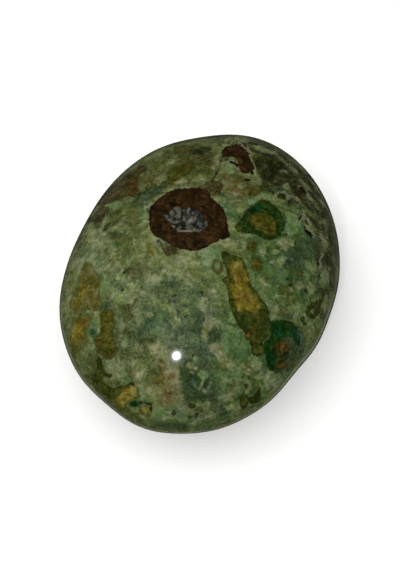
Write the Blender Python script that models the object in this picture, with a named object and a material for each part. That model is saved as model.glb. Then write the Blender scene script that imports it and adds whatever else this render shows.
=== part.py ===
"""Polished turquoise pebble, 45 x 35 x 22.5 mm, as one solid stone.

The pebble starts as an egg with a crown above its widest level and a shallower belly below.
Broad swells and worn flats are added to it along chosen directions, its underside is pressed
to a small flat spot that it rests on, and the natural hollows are sunk into the polished face.
The origin is on the resting plane, under the middle of the stone. +Y runs along the length.
"""
import math
from typing import NamedTuple

import bmesh
import bpy
from mathutils import Vector

MM = 0.001

# The plain egg, measured from its widest level
HALF_WIDTH = 18.0 * MM
HALF_LENGTH = 22.7 * MM
CROWN_HEIGHT = 12.5 * MM
BELLY_DEPTH = 10.4 * MM

# The egg's middle above the resting plane, set so that the finished stone is centred on the origin
MIDDLE = Vector((0.15 * MM, 0.04 * MM, 9.7 * MM))

# Height over which the belly eases into the flat resting spot
REST_EASE = 0.2 * MM

# A sphere of triangles: 4 gives 1280 faces, 5 gives 5120
SPHERE_LEVEL = 5

# Faces this far outside a hollow's rim are still made finer
RIM_MARGIN = 0.35 * MM


class Swell(NamedTuple):
    """A broad rise (or, below zero, a worn flat) about one direction from the stone's middle."""
    azimuth: float
    elevation: float
    reach: float
    height: float


class Hollow(NamedTuple):
    """A pit along a short path, in the millimetres of the view that it is laid out in."""
    view: str
    path: tuple
    radius: float
    depth: float
    passes: int


# Azimuth and elevation in degrees, reach in degrees, height in millimetres
SWELLS = {
    "near left flat": Swell(256, -4, 12, -0.55),
    "left cheek": Swell(217, 2, 16, 0.30),
    "near dent": Swell(283, -6, 12, -0.30),
    "near dent, right half": Swell(308, -6, 13, -0.20),
    "near right flat": Swell(333, -4, 14, -0.65),
    "right end of that flat": Swell(2, -2, 13, -0.25),
    "far left flat": Swell(177, 8, 18, -0.25),
    "far end flat": Swell(111, 12, 15, -0.55),
    "long right flank": Swell(56, 38, 34, -1.10),
    "crown": Swell(236, 55, 45, 0.60),
    "worn belly": Swell(11, -42, 40, -0.60),
}

# Two views that the hollows are laid out in: the direction that each looks from, in degrees
VIEWS = {
    "face": (-69.0, 62.0),
    "back": (111.0, 20.0),
}

# Across and up in millimetres from the stone's middle, in the plane of the view
HOLLOWS = {
    "quartz pocket": Hollow("face", ((-3.1, 7.5), (-1.9, 7.6), (-0.9, 7.3)), 1.35, 0.30, 2),
    "pit, upper": Hollow("face", ((12.7, 8.1), (13.1, 8.5)), 0.42, 0.26, 3),
    "pit, middle": Hollow("face", ((13.6, 7.9), (13.9, 7.4)), 0.40, 0.26, 3),
    "pit, large": Hollow("face", ((13.5, 7.0), (13.7, 6.4), (14.3, 5.9)), 0.45, 0.32, 3),
    "slit": Hollow("face", ((15.4, 5.9), (15.7, 5.3)), 0.34, 0.22, 3),
    "forked pit": Hollow("face", ((15.5, 3.3), (15.0, 2.6), (15.2, 1.8)), 0.36, 0.24, 3),
    "back pit, long": Hollow("back", ((-6.2, 2.6), (-5.4, 2.1), (-4.9, 1.3)), 0.44, 0.30, 3),
    "back pit, round": Hollow("back", ((-3.6, 0.2), (-3.4, 0.1)), 0.42, 0.26, 3),
}

# Polished green turquoise, as the photograph's middle tone
STONE_COLOUR = (0.065, 0.083, 0.026, 1.0)
STONE_ROUGHNESS = 0.12


def clear_scene():
    """Remove whatever objects the open file holds."""
    for thing in list(bpy.data.objects):
        bpy.data.objects.remove(thing, do_unlink=True)


def direction(azimuth, elevation):
    """Unit vector at an azimuth from +X and an elevation above level, in degrees."""
    turn = math.radians(azimuth)
    rise = math.radians(elevation)
    return Vector((math.cos(rise) * math.cos(turn), math.cos(rise) * math.sin(turn), math.sin(rise)))


def view_axes(azimuth, elevation):
    """Across, up and towards vectors of a view that looks from an azimuth and elevation."""
    towards = direction(azimuth, elevation)
    across = Vector((0, 0, 1)).cross(towards).normalized()
    return across, towards.cross(across), towards


def egg_radius(ray):
    """Distance from the middle to the plain egg along a unit ray."""
    height = CROWN_HEIGHT if ray.z >= 0 else BELLY_DEPTH
    scaled = Vector((ray.x / HALF_WIDTH, ray.y / HALF_LENGTH, ray.z / height))
    return 1 / scaled.length


def eased_height(z):
    """Height after the belly is pressed to the resting plane, with an eased edge."""
    overlap = max(REST_EASE - abs(z), 0)
    return max(z, 0) + overlap * overlap / (4 * REST_EASE)


def polished_point(ray):
    """Point on the smooth pebble, before the hollows, along a unit ray from the middle."""
    radius = egg_radius(ray)
    for swell in SWELLS.values():
        apart = math.degrees(ray.angle(direction(swell.azimuth, swell.elevation)))
        radius += swell.height * MM * math.exp(-(apart / swell.reach) ** 2)
    point = MIDDLE + ray * radius
    point.z = eased_height(point.z)
    return point


def distance_to_path(spot, path):
    """Shortest distance from a flat spot to a path of flat points."""
    nearest = math.inf
    for start, end in zip(path, path[1:]):
        along = Vector(end) - Vector(start)
        share = (spot - Vector(start)).dot(along) / along.length_squared
        foot = Vector(start) + along * min(max(share, 0), 1)
        nearest = min(nearest, (spot - foot).length)
    return nearest


def distance_outside(point, hollow):
    """Millimetres from a point to a hollow's rim, below zero inside it, or infinity behind the view."""
    across, up, towards = view_axes(*VIEWS[hollow.view])
    arm = point - MIDDLE
    if arm.dot(towards) < 0:
        return math.inf
    spot = Vector((arm.dot(across), arm.dot(up))) / MM
    return distance_to_path(spot, hollow.path) - hollow.radius


def hollowed_point(ray):
    """Point on the finished stone along a unit ray: smooth, or sunk where a hollow is."""
    point = polished_point(ray)
    sink = 0
    for hollow in HOLLOWS.values():
        outside = distance_outside(point, hollow)
        if outside < 0:
            share = 1 - (1 + outside / hollow.radius) ** 2
            sink = max(sink, hollow.depth * MM * share * share)
    return point - ray * sink


def refine_hollows(mesh):
    """Split the triangles in and about each hollow, more often for the small ones."""
    for turn in range(max(hollow.passes for hollow in HOLLOWS.values())):
        wanted = [hollow for hollow in HOLLOWS.values() if hollow.passes > turn]
        near = set()
        for vert in mesh.verts:
            point = polished_point(vert.co.normalized())
            margin = RIM_MARGIN / MM + edge_reach(vert)
            if any(distance_outside(point, hollow) < margin for hollow in wanted):
                near.add(vert)
        edges = [edge for edge in mesh.edges if edge.verts[0] in near and edge.verts[1] in near]
        bmesh.ops.subdivide_edges(mesh, edges=edges, cuts=1, use_grid_fill=True)
        bmesh.ops.triangulate(mesh, faces=mesh.faces[:])


def edge_reach(vert):
    """Half the mean length of the edges at a vertex, in millimetres on the stone."""
    lengths = [edge.calc_length() for edge in vert.link_edges]
    return 0.5 * sum(lengths) / len(lengths) * HALF_WIDTH / MM


def stone_material():
    """Polished stone in the photograph's middle green."""
    material = bpy.data.materials.new("polished_turquoise")
    material.use_nodes = True
    shader = material.node_tree.nodes["Principled BSDF"]
    shader.inputs["Base Color"].default_value = STONE_COLOUR
    shader.inputs["Roughness"].default_value = STONE_ROUGHNESS
    shader.inputs["Metallic"].default_value = 0.0
    return material


def build_stone():
    """Model the stone from a sphere of triangles, each vertex moved along its own ray."""
    mesh = bmesh.new()
    bmesh.ops.create_icosphere(mesh, subdivisions=SPHERE_LEVEL, radius=1.0)
    refine_hollows(mesh)
    for vert in mesh.verts:
        vert.co = hollowed_point(vert.co.normalized())
    bmesh.ops.recalc_face_normals(mesh, faces=mesh.faces[:])
    data = bpy.data.meshes.new("stone")
    mesh.to_mesh(data)
    mesh.free()
    data.shade_smooth()
    data.materials.append(stone_material())
    return bpy.data.objects.new("stone", data)


def main():
    """Build the stone in a collection of its own."""
    clear_scene()
    collection = bpy.data.collections.new("turquoise_stone")
    bpy.context.scene.collection.children.link(collection)
    collection.objects.link(build_stone())


main()
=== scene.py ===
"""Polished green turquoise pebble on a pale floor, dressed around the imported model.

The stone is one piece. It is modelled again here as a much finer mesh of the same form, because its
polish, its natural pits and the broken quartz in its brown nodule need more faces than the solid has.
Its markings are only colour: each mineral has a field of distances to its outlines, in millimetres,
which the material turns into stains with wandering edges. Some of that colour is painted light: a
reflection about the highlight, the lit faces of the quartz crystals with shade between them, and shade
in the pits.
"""

import logging
import math
from dataclasses import dataclass, field
from enum import Enum
from typing import Iterator

import bmesh
import bpy
import numpy as np
from mathutils import Matrix, Vector


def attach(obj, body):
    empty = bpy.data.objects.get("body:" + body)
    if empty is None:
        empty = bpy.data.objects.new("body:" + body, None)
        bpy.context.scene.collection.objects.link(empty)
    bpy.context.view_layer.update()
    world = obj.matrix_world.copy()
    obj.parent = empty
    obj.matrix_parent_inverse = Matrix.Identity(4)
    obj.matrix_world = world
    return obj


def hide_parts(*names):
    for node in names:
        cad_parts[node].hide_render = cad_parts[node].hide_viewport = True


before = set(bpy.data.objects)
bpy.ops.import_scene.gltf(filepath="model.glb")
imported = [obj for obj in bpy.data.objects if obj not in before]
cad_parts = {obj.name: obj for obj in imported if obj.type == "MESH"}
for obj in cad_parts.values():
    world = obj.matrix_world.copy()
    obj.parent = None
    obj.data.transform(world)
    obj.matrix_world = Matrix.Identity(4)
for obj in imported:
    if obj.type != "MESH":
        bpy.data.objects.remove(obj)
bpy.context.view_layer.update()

MM = 0.001
LOG = logging.getLogger("turquoise_stone")

# The photograph's frame, in pixels, and the mean size of a pixel on the stone, in millimetres
PHOTO_WIDTH = 400
PHOTO_HEIGHT = 570
PIXEL = 0.13

# Lengths below this count as nothing, which keeps divisions safe
TINY = 1e-9

Spot2D = tuple[float, float]
Path2D = tuple[Spot2D, ...]


class View(Enum):
    """Directions that the stone is looked at from: azimuth and elevation in degrees."""
    FACE = (-69.0, 62.0)
    BACK = (111.0, 20.0)


class Mottling(Enum):
    """Kinds of mottling that run all through the stone, from clouds down to grain, and small cells."""
    BROAD = "broad"
    BLOTCH = "blotch"
    MOTTLE = "mottle"
    GRAIN = "grain"
    CRUMB = "crumb"


class Mineral(Enum):
    """What shows in the polished face, in the order in which it is laid on the ground colour; two of them
    are painted light and shade on the quartz.
    """
    POOL = "grey_green_pool"
    MOSS = "moss_green"
    JADE = "jade_green"
    MINT = "mint_green"
    CREAM = "cream_clay"
    TAN = "tan_clay"
    OCHRE = "soft_ochre"
    LODEN = "loden_shade"
    UMBER = "umber_stain"
    DARK = "dark_matrix"
    PALE = "pale_vein"
    OLIVE = "olive_stain"
    GREEN = "deep_green"
    TEAL = "teal_heart"
    BRONZE = "bronze_olive"
    GOLD = "golden_ochre"
    LIMONITE = "limonite"
    RUST = "rust_stain"
    QUARTZ = "quartz"
    # Painted highlights: the quartz crystals' faces and edges that catch the light
    CRYSTAL_HIGHLIGHT = "lit_crystal"
    # Painted shade in the gaps between the quartz crystals, and one real dark crack
    GAP_SHADE_AND_CRACK = "dark_gap"


class Tint(Enum):
    """A soft change of the ground colour over a broad zone; one of them is a painted reflection."""
    MINT = "mint_ground"
    LIGHT = "light_ground"
    SAGE = "sage_ground"
    # Painted reflection: the bluish haze that the polish mirrors about the highlight, laid into the ground
    # colour
    PAINTED_HAZE = "milky_ground"
    WARM = "warm_ground"
    CLAY = "clay_ground"
    DEEP = "deep_ground"
    GREY = "grey_ground"


def linear(code: str) -> tuple[float, float, float, float]:
    """Turn an sRGB hex colour into linear light.

    Args:
        code: Six hex digits, two each for red, green and blue.

    Returns:
        Red, green and blue from 0 to 1, and an alpha of 1.
    """
    parts = [int(code[i:i + 2], 16) / 255 for i in (0, 2, 4)]
    light = [p / 12.92 if p <= 0.04045 else ((p + 0.055) / 1.055) ** 2.4 for p in parts]
    return light[0], light[1], light[2], 1.0


def direction(azimuth: float, elevation: float) -> np.ndarray:
    """Unit vector at an azimuth from +X and an elevation above level, in degrees."""
    turn, rise = math.radians(azimuth), math.radians(elevation)
    return np.array([math.cos(rise) * math.cos(turn), math.cos(rise) * math.sin(turn), math.sin(rise)])


def view_axes(azimuth: float, elevation: float) -> tuple[np.ndarray, np.ndarray, np.ndarray]:
    """Axes of a view that is looked at from an azimuth and an elevation.

    Args:
        azimuth: Degrees from +X.
        elevation: Degrees above level.

    Returns:
        Unit vectors across the view, up it and towards the eye.
    """
    towards = direction(azimuth, elevation)
    across = np.cross((0, 0, 1), towards)
    across /= np.linalg.norm(across)
    return across, np.cross(towards, across), towards


def smooth_loop(outline: Path2D, steps: int = 4) -> np.ndarray:
    """Run a smooth closed curve, of the Catmull-Rom kind, through the points of an outline.

    Args:
        outline: The points, in order round the shape.
        steps: Points of the curve for each point of the outline.

    Returns:
        Points of the curve, one row each.
    """
    here = np.array(outline, float)
    before, after, beyond = (np.roll(here, shift, axis=0) for shift in (1, -1, -2))
    rows = []
    for t in np.arange(steps) / steps:
        rows.append(0.5 * (2 * here + (after - before) * t
                           + (2 * before - 5 * here + 4 * after - beyond) * t ** 2
                           + (3 * here - before - 3 * after + beyond) * t ** 3))
    return np.stack(rows, axis=1).reshape(-1, 2)


def distance_to_lines(spots: np.ndarray, starts: np.ndarray, ends: np.ndarray) -> np.ndarray:
    """Shortest distance from each spot to any of a set of straight lines.

    Args:
        spots: Places, one row each.
        starts: Where each line starts.
        ends: Where each line ends.

    Returns:
        One distance for each spot.
    """
    along = ends - starts
    arm = spots[:, None, :] - starts[None, :, :]
    share = (arm * along).sum(-1) / np.maximum((along ** 2).sum(-1), TINY)
    foot = arm - np.clip(share, 0, 1)[..., None] * along
    return np.sqrt((foot ** 2).sum(-1).min(1))


@dataclass(frozen=True)
class Patch:
    """A region inside a smooth closed curve."""
    outline: Path2D

    def extent(self) -> tuple[np.ndarray, np.ndarray]:
        """Lowest and highest corner of the outline."""
        return np.min(self.outline, axis=0), np.max(self.outline, axis=0)

    def depth(self, spots: np.ndarray) -> np.ndarray:
        """Distance of each spot inside the outline, below zero outside it.

        Args:
            spots: Places in the picture, one row each.

        Returns:
            One distance for each spot.
        """
        starts = smooth_loop(self.outline)
        ends = np.roll(starts, -1, axis=0)
        x, y = spots[:, :1], spots[:, 1:]
        straddles = (starts[:, 1] > y) != (ends[:, 1] > y)
        rise = np.where(ends[:, 1] == starts[:, 1], TINY, ends[:, 1] - starts[:, 1])
        crossing = starts[:, 0] + (y - starts[:, 1]) * (ends[:, 0] - starts[:, 0]) / rise
        inside = (straddles & (x < crossing)).sum(1) % 2 == 1
        return distance_to_lines(spots, starts, ends) * np.where(inside, 1, -1)


@dataclass(frozen=True)
class Spot:
    """An oval region: its centre, half its length and half its width, and its turn in degrees."""
    x: float
    y: float
    length: float
    width: float
    turn: float = 0.0

    def extent(self) -> tuple[np.ndarray, np.ndarray]:
        """Lowest and highest corner of a square that holds the oval."""
        centre, reach = np.array([self.x, self.y]), max(self.length, self.width)
        return centre - reach, centre + reach

    def ratio(self, spots: np.ndarray) -> np.ndarray:
        """How far out each spot is, as a share of the way from the centre to the oval's edge.

        Args:
            spots: Places in the picture, one row each.

        Returns:
            One share for each spot, which is 1 on the edge.
        """
        turn = math.radians(self.turn)
        dx, dy = spots[:, 0] - self.x, spots[:, 1] - self.y
        along = dx * math.cos(turn) + dy * math.sin(turn)
        aside = dy * math.cos(turn) - dx * math.sin(turn)
        return np.hypot(along / self.length, aside / self.width)

    def depth(self, spots: np.ndarray) -> np.ndarray:
        """Distance of each spot inside the oval, below zero outside it, near enough for a thin one."""
        return (1 - self.ratio(spots)) * min(self.length, self.width)


@dataclass(frozen=True)
class Ring:
    """A line round an oval, given as the oval, half the line's width and the oval's turn."""
    x: float
    y: float
    length: float
    width: float
    half_width: float
    turn: float = 0.0

    def oval(self) -> Spot:
        """The oval that the line follows."""
        return Spot(self.x, self.y, self.length, self.width, self.turn)

    def extent(self) -> tuple[np.ndarray, np.ndarray]:
        """Lowest and highest corner of a square that holds the oval."""
        return self.oval().extent()

    def depth(self, spots: np.ndarray) -> np.ndarray:
        """Distance of each spot inside the line, below zero outside it."""
        return self.half_width - np.abs(self.oval().depth(spots))


@dataclass(frozen=True)
class Streak:
    """A line of even width along a path."""
    path: Path2D
    half_width: float

    def extent(self) -> tuple[np.ndarray, np.ndarray]:
        """Lowest and highest corner of the path."""
        return np.min(self.path, axis=0), np.max(self.path, axis=0)

    def depth(self, spots: np.ndarray) -> np.ndarray:
        """Distance of each spot inside the line, below zero outside it."""
        points = np.array(self.path, float)
        return self.half_width - distance_to_lines(spots, points[:-1], points[1:])


@dataclass(frozen=True)
class Flecks:
    """Many ovals of one kind, each given as a spot's five numbers."""
    ovals: tuple[tuple[float, float, float, float, float], ...]

    def parts(self) -> list[Spot]:
        """The ovals, each as a mark of its own."""
        return [Spot(*oval) for oval in self.ovals]


Mark = Patch | Spot | Ring | Streak | Flecks


@dataclass(frozen=True)
class Zone:
    """A broad soft spot of one tint: strongest in the middle of its oval, and gone well outside it."""
    oval: Spot
    strength: float = 1.0

    def amount(self, spots: np.ndarray) -> np.ndarray:
        """Share of the tint at each spot."""
        return self.strength * np.exp(-self.oval.ratio(spots) ** 2)


# Markings of the photographed side, outlined in the photograph's pixels
FACE_MARKS: dict[Mineral, dict[str, Mark]] = {
    Mineral.POOL: {
        "beside the nodule": Patch((
            (133, 200), (138, 193), (145, 188), (153, 187), (160, 184), (167, 185), (164, 191),
            (156, 197), (149, 202), (138, 203))),
        "left of the middle": Streak(((153, 316), (147, 325), (140, 333)), 3.4),
        # The patch below the highlight is a painted reflection: the dark shape that the polish mirrors
        # beside the highlight, laid in as a darker grey-green
        "below the highlight": Patch((
            (181, 362), (190, 360), (192, 368), (196, 378), (205, 390), (213, 392), (216, 399),
            (205, 400), (185, 399), (181, 385))),
        "below the teal": Patch((
            (286, 331), (297, 326), (304, 333), (306, 343), (303, 352), (297, 361), (289, 370),
            (280, 376), (272, 374), (267, 364), (266, 350), (271, 338), (278, 330))),
        "middle": Patch(((207, 333), (213, 329), (220, 331), (223, 336), (219, 341), (211, 342))),
        "right middle": Spot(297, 259, 9, 8, 80),
        "under the pits": Spot(312, 240, 9, 5.5, -70),
        "lower right": Spot(289, 315, 6, 5),
        "along the bottom": Streak(((153, 424), (168, 425), (184, 427)), 2.8),
        "blots": Flecks((
            (171, 283.5, 11, 4, 0), (224, 413, 4.5, 5.5, 0), (305, 290, 2.6, 3, 0),
            (317, 285, 2, 3, 0), (196, 331, 8, 4, 20), (229, 309, 3, 6, 20), (104, 306, 4, 6, 70),
            (270, 190, 7, 4, 20))),
    },
    Mineral.MOSS: {
        "along the lower left": Streak((
            (98, 374), (105, 389), (115, 402), (127, 413), (142, 421)), 4.6),
        "left pool": Patch((
            (128, 268), (134, 262), (143, 262), (150, 266), (149, 272), (142, 276), (132, 276))),
        "left of the nodule": Patch((
            (128, 210), (134, 207), (139, 211), (141, 219), (138, 227), (131, 229), (127, 222))),
        "near the upper edge": Patch((
            (150, 166), (158, 160), (168, 158), (172, 163), (167, 171), (158, 175), (151, 172))),
        "blots": Flecks((
            (117, 243, 6, 3.4, 0), (231.5, 386, 4.5, 6, 0), (96, 370, 8, 2.4, 85),
            (130, 373, 5.5, 3, 85), (232, 172, 5, 6, 40), (262, 279, 3, 8, 70), (275, 232, 2, 3, 0),
            (293, 300, 4, 6, 50), (104, 250, 5, 3, 40), (160, 291, 7, 3, 10),
            (98.5, 225.5, 6, 3.4, -60), (115, 213, 8, 5.4, -20), (115, 237, 8, 4.6, 5),
            (70, 284, 5, 3, -80), (112, 223.5, 11, 3.6, -26), (96, 304, 5, 5, 0), (93, 294, 3, 4, 0),
            (99, 283, 2.4, 8, 0))),
    },
    Mineral.JADE: {
        "between middle and band": Patch((
            (222, 333), (228, 329), (235, 332), (236, 341), (230, 346), (223, 343))),
        "slit": Patch((
            (91, 322), (94, 319), (96, 325), (98, 331), (97, 336), (92, 338), (88, 336), (87, 331),
            (90, 328))),
        "below the middle": Patch((
            (221, 346), (230, 341), (240, 342), (249, 349), (250, 357), (242, 360), (232, 356),
            (223, 354))),
        "blots": Flecks((
            (127.5, 379.5, 5.5, 3.2, 0), (114, 384.5, 4, 2.4, 0), (134, 403, 7, 4.6, 0),
            (286, 206, 4.5, 3.2, 30), (271, 293, 6, 7, 60), (256, 243, 3, 5, 0), (160, 316, 6, 5, 0),
            (85, 253, 4, 8, 80), (232, 213, 5, 4, 0), (300, 228, 4, 7, 20), (116, 245, 5, 2.4, 0),
            (267, 268, 6, 6, 0), (280, 275, 9, 6, 40), (285, 312, 7, 5, 0), (147, 402, 6, 2.6, 10),
            (215, 375, 6, 4, 30), (188, 418, 9, 3.4, 8), (208, 424, 8, 2.6, -8),
            (226, 376, 9, 4.4, 0))),
    },
    Mineral.MINT: {
        "left of the band": Streak((
            (212, 270), (220, 283), (226, 290), (228, 300), (229, 310), (233, 320)), 2.2),
        "right of the band": Streak(((250, 270), (256, 284), (262, 294), (269, 304)), 1.8),
        "below the nodule": Patch((
            (200, 250), (208, 246), (218, 249), (222, 257), (219, 266), (208, 268), (201, 262))),
        "above the drop": Patch((
            (245, 204), (251, 199), (258, 196), (268, 194), (277, 201), (268, 198), (259, 199),
            (252, 204))),
        "right of the drop": Patch((
            (284, 213), (289, 212), (298, 218), (300, 226), (297, 233), (289, 236), (286, 228),
            (287, 220))),
        "blots": Flecks((
            (142, 390, 2.4, 7, -15), (160, 414, 10, 5, 0), (203.5, 375.5, 5.5, 4.5, 0),
            (104, 285, 5, 9, 10), (115, 205, 6, 3, -20), (144, 219, 3, 9, 0), (110, 268, 5, 2, -40),
            (282, 259, 5, 3, 0), (307, 276, 4, 3, 60), (324, 279, 4, 8, 5), (157, 330, 5, 3, -30),
            (253, 361, 6, 6, 0), (290, 309, 5, 4, 0), (303, 317, 4, 5, 0), (245, 235, 6, 2.4, 10),
            (222, 209, 5, 4, 30), (230, 168, 6, 4, 60))),
    },
    Mineral.CREAM: {
        "below the nodule": Patch((
            (160, 262), (170, 257), (182, 256), (192, 258), (200, 262), (196, 268), (186, 268),
            (180, 274), (170, 276), (162, 271))),
        "left": Patch(((88, 232), (95, 228), (105, 231), (108, 240), (103, 249), (94, 250), (88, 242))),
        "lower left": Patch((
            (106, 362), (112, 357), (120, 359), (125, 367), (122, 377), (113, 381), (107, 375))),
        "beside the lower left": Patch((
            (134, 360), (139, 358), (143, 364), (143, 376), (140, 384), (135, 382), (133, 370))),
        "curl": Streak(((237, 390), (237, 384), (240, 380), (245, 380), (248, 384), (247, 391)), 1.8),
        "along the top streaks": Streak(((256, 147), (263, 149), (273, 153)), 1.6),
        "blots": Flecks((
            (152.5, 280, 8, 5, 0), (158, 303.5, 5.5, 5, 0), (137.5, 312, 3, 6.5, 0),
            (189, 281, 4.2, 6.2, 0), (128, 300, 6, 4, 20), (155, 347, 5, 5, 0), (153, 391, 7, 5, 0),
            (224.5, 381, 3.5, 3, 0), (257, 365, 5, 6, 0), (248, 175.5, 4.5, 2.6, 20),
            (232, 224, 4, 8, -15), (227, 397, 6, 4, 0), (236, 407, 8, 5, -20), (207, 406, 4, 5, 0),
            (210, 416, 5, 3.4, 0), (285, 243, 8, 6, 0), (281, 262, 4, 3, 0), (311, 267, 7, 4.6, 40),
            (311, 287, 4.5, 6.5, 10), (263, 283, 3, 6, -30), (275, 312, 3.6, 6, 10),
            (243, 246, 3, 5, 0), (230, 245, 6, 4, 0), (155, 240, 3, 7, 10), (92, 264, 3, 6, -40),
            (121, 223, 3.4, 2, -60), (175, 322, 5, 5, 0), (200, 303, 3.4, 4.4, 0),
            (214, 291, 2.6, 3, 0), (217, 297.5, 2.6, 2.4, 0), (221, 164, 4, 3, -60),
            (205, 195, 7, 2, -12), (142, 187, 4, 2.6, -60), (160, 180, 5, 2.6, -30),
            (173, 188, 6, 1.6, -18), (171, 161, 5, 3.4, -20), (199, 179, 6, 3.4, -10),
            (181, 181, 5, 2.6, -20), (223, 358, 7, 6, 20), (230, 365, 6, 4, 30), (243, 366, 4, 4, 0),
            (169, 308, 6, 5, 0))),
    },
    Mineral.TAN: {
        "left of the highlight": Patch((
            (150, 350), (156, 341), (162, 344), (168, 347), (172, 355), (170, 362), (166, 368),
            (160, 366), (154, 360))),
        "below the highlight": Patch((
            (163, 373), (172, 366), (179, 369), (180, 380), (181, 391), (183, 398), (176, 402),
            (166, 402), (158, 400), (148, 398), (146, 390), (152, 386), (160, 384), (165, 380))),
        "right of the highlight": Patch((
            (208, 346), (216, 343), (221, 348), (222, 355), (229, 360), (234, 363), (229, 367),
            (222, 367), (216, 358), (211, 351))),
        "fork in the middle": Patch((
            (202, 307), (207, 307), (209, 315), (214, 318), (221, 322), (218, 327), (212, 327),
            (207, 330), (208, 338), (206, 343), (203, 340), (202, 328), (204, 318))),
        "chipped edge of the pits": Patch((
            (302, 216), (306, 218), (310, 223), (313, 227), (314, 233), (312, 236), (308, 230),
            (305, 224))),
        "edge of the nodule": Streak(((148, 206), (154, 200), (161, 195.5)), 1.8),
        "arc in the dark": Streak(((274, 180), (280, 177), (287, 179)), 1.3),
        "streaks at the upper right": Flecks((
            (312.5, 202, 9, 2.4, 47), (270, 151.5, 6, 1.3, 12), (284.5, 174.5, 4, 1.0, 8),
            (283, 160.5, 4, 2.0, 30), (297, 199, 5, 1.2, 40), (324, 205, 8, 1.4, 60),
            (330, 215, 9, 1.2, 68), (316, 188, 8, 1.1, 55), (293, 169, 7, 1.2, 42),
            (323, 222, 3, 2.0, 0))),
        "blots": Flecks((
            (324, 306, 6, 4, 60), (325, 242, 2, 7, 0), (323, 222, 4, 3, 60), (153, 238, 4, 4, 0),
            (183, 252, 5, 2.6, 0), (147, 262, 7, 3, 0), (190, 366, 3, 3, 0), (262, 251, 4, 3, 0),
            (116, 366, 3, 6, -20), (75, 258, 4, 10, 30), (68, 300, 3, 10, 5), (248, 372, 4, 3, 0),
            (328, 272, 2, 6, 0), (288, 150, 9, 3, 30), (300, 165, 9, 3, 45), (241, 139, 9, 3, 5),
            (215, 162, 3, 8, 20), (228, 183, 5, 2.4, 20), (241, 186, 4, 2.6, -30),
            (234, 193, 5, 2, 10), (232, 246, 3, 2.6, 0), (209, 322, 3, 9, 0), (298, 285, 4, 3, 0))),
    },
    Mineral.PALE: {
        "crescent under the hook": Streak(((231, 159), (235, 161), (239, 165), (241, 170)), 1.9),
        "streaks at the upper right": Flecks((
            (305, 185, 6.5, 1.6, 47), (260, 148.5, 6, 1.3, 22), (284, 171, 4, 1.1, 8))),
        "bright flecks": Flecks((
            (134, 257, 1.5, 2.2, 0), (139.5, 256, 4, 1.5, -3), (131, 286, 4.4, 2.6, 0),
            (240.5, 210.5, 3.4, 2.6, 0), (275, 252, 3.6, 2.6, 0), (283, 241, 4.4, 4, 0),
            (298.5, 306, 3, 4, 0), (165, 354.5, 2.4, 3.6, 0), (150, 315, 3, 3, 0),
            (118, 299.5, 3.2, 3, 0), (206, 264, 4, 2.4, 0), (286, 186.5, 3.4, 3.8, 30),
            (151, 206, 3.6, 3, -40), (220.5, 199.5, 6, 3.4, 0), (271, 318, 3.6, 4, 0))),
        "small flecks": Flecks((
            (107, 267, 4.4, 1.8, -35), (100, 269, 2.6, 1.8, 0), (92, 232, 3, 2.2, 0),
            (104, 235, 3, 2, 0), (95, 240, 2.4, 2.4, 0), (98, 246, 1.6, 4, 15), (185, 301, 4, 3, 0),
            (175, 316, 2, 4, 0), (213, 290, 2, 2, 0), (216, 297, 1.8, 1.8, 0), (195.5, 358, 2, 2.4, 0),
            (196, 368, 2, 1.8, 0), (192, 372, 1.8, 1.6, 0), (195, 386, 2, 2, 0), (204, 391, 2, 2, 0),
            (201, 385, 1.4, 4, 20), (209.5, 386, 1.4, 5, 25), (198, 405, 2, 2, 0), (193, 424, 3, 2, 0),
            (164, 419, 2.4, 1.8, 0), (292, 244, 2.4, 2, 0), (272, 262, 2.6, 2.2, 0),
            (258, 278, 2.2, 3, 0), (276, 297, 3.4, 1.8, 0), (290, 290, 2, 2.4, 0),
            (296, 315, 2, 4.4, 10), (312, 310.5, 1.8, 1.5, 0), (305, 319, 1.4, 3, 0),
            (124, 344, 3, 3.4, 0), (95, 317, 4.4, 1.6, -60), (142, 399, 2.2, 1.8, 0),
            (142, 417, 2.4, 1.6, 0), (174, 272.5, 6, 2, 0), (195, 263, 5, 1.8, 0),
            (161, 239, 3.2, 1.6, 40), (164, 245, 1.4, 4.4, -20), (145, 247, 1.6, 4.6, -10),
            (134, 244, 1.4, 4, -20), (153.5, 299, 3.4, 2, 0), (204, 309, 2.8, 3.4, 0),
            (137, 374, 2.2, 3.4, 0), (113, 361, 3.4, 2, 0), (326, 298, 2, 3.4, 0), (319, 300, 2, 3, 0),
            (229, 380.5, 3, 1.8, 0), (258, 378, 3, 1.8, 20), (222, 397, 4, 2, 0),
            (230, 406, 5, 2, -20), (165, 300, 2.4, 2, 0), (143, 292, 2.4, 1.8, 0),
            (170, 309, 2, 1.8, 0), (186, 310, 2.4, 1.6, 0))),
        "threads": Flecks((
            (104, 223, 8, 1.0, -72), (116, 228, 7, 1.1, 3), (122, 231, 3.4, 1.0, 40),
            (121, 272, 7.5, 1.0, -60), (78, 262, 9, 1.1, -42), (76, 280, 11, 1.3, -68),
            (79, 245, 10, 1.1, -58), (145, 212, 1.2, 8, 0), (250, 158, 1.0, 7, -12),
            (254, 167, 1.0, 5, -20), (99, 332, 1.2, 6, 6), (90, 312, 6, 1.0, 10),
            (93, 343, 4.4, 1.0, 60), (224, 262, 1.1, 7, 0), (262, 348, 1.0, 5, 20),
            (229, 240, 7, 1.4, 10), (177, 325, 2, 5, 20))),
        "ring at the top": Ring(228.5, 142.5, 3.2, 3.0, 1.1),
        "ring in the middle": Ring(204, 302.5, 3.6, 3.8, 0.9),
        "ring near the lower edge": Ring(271, 377, 4, 4.4, 1.2),
        "ring by the dot": Ring(281.5, 196.5, 6, 5, 1.0),
    },
    Mineral.DARK: {
        "heart of the field": Flecks((
            (263, 160, 5, 3.4, 10), (281, 164, 4.6, 3, 30), (284.5, 176.5, 5, 2, 10),
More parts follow.
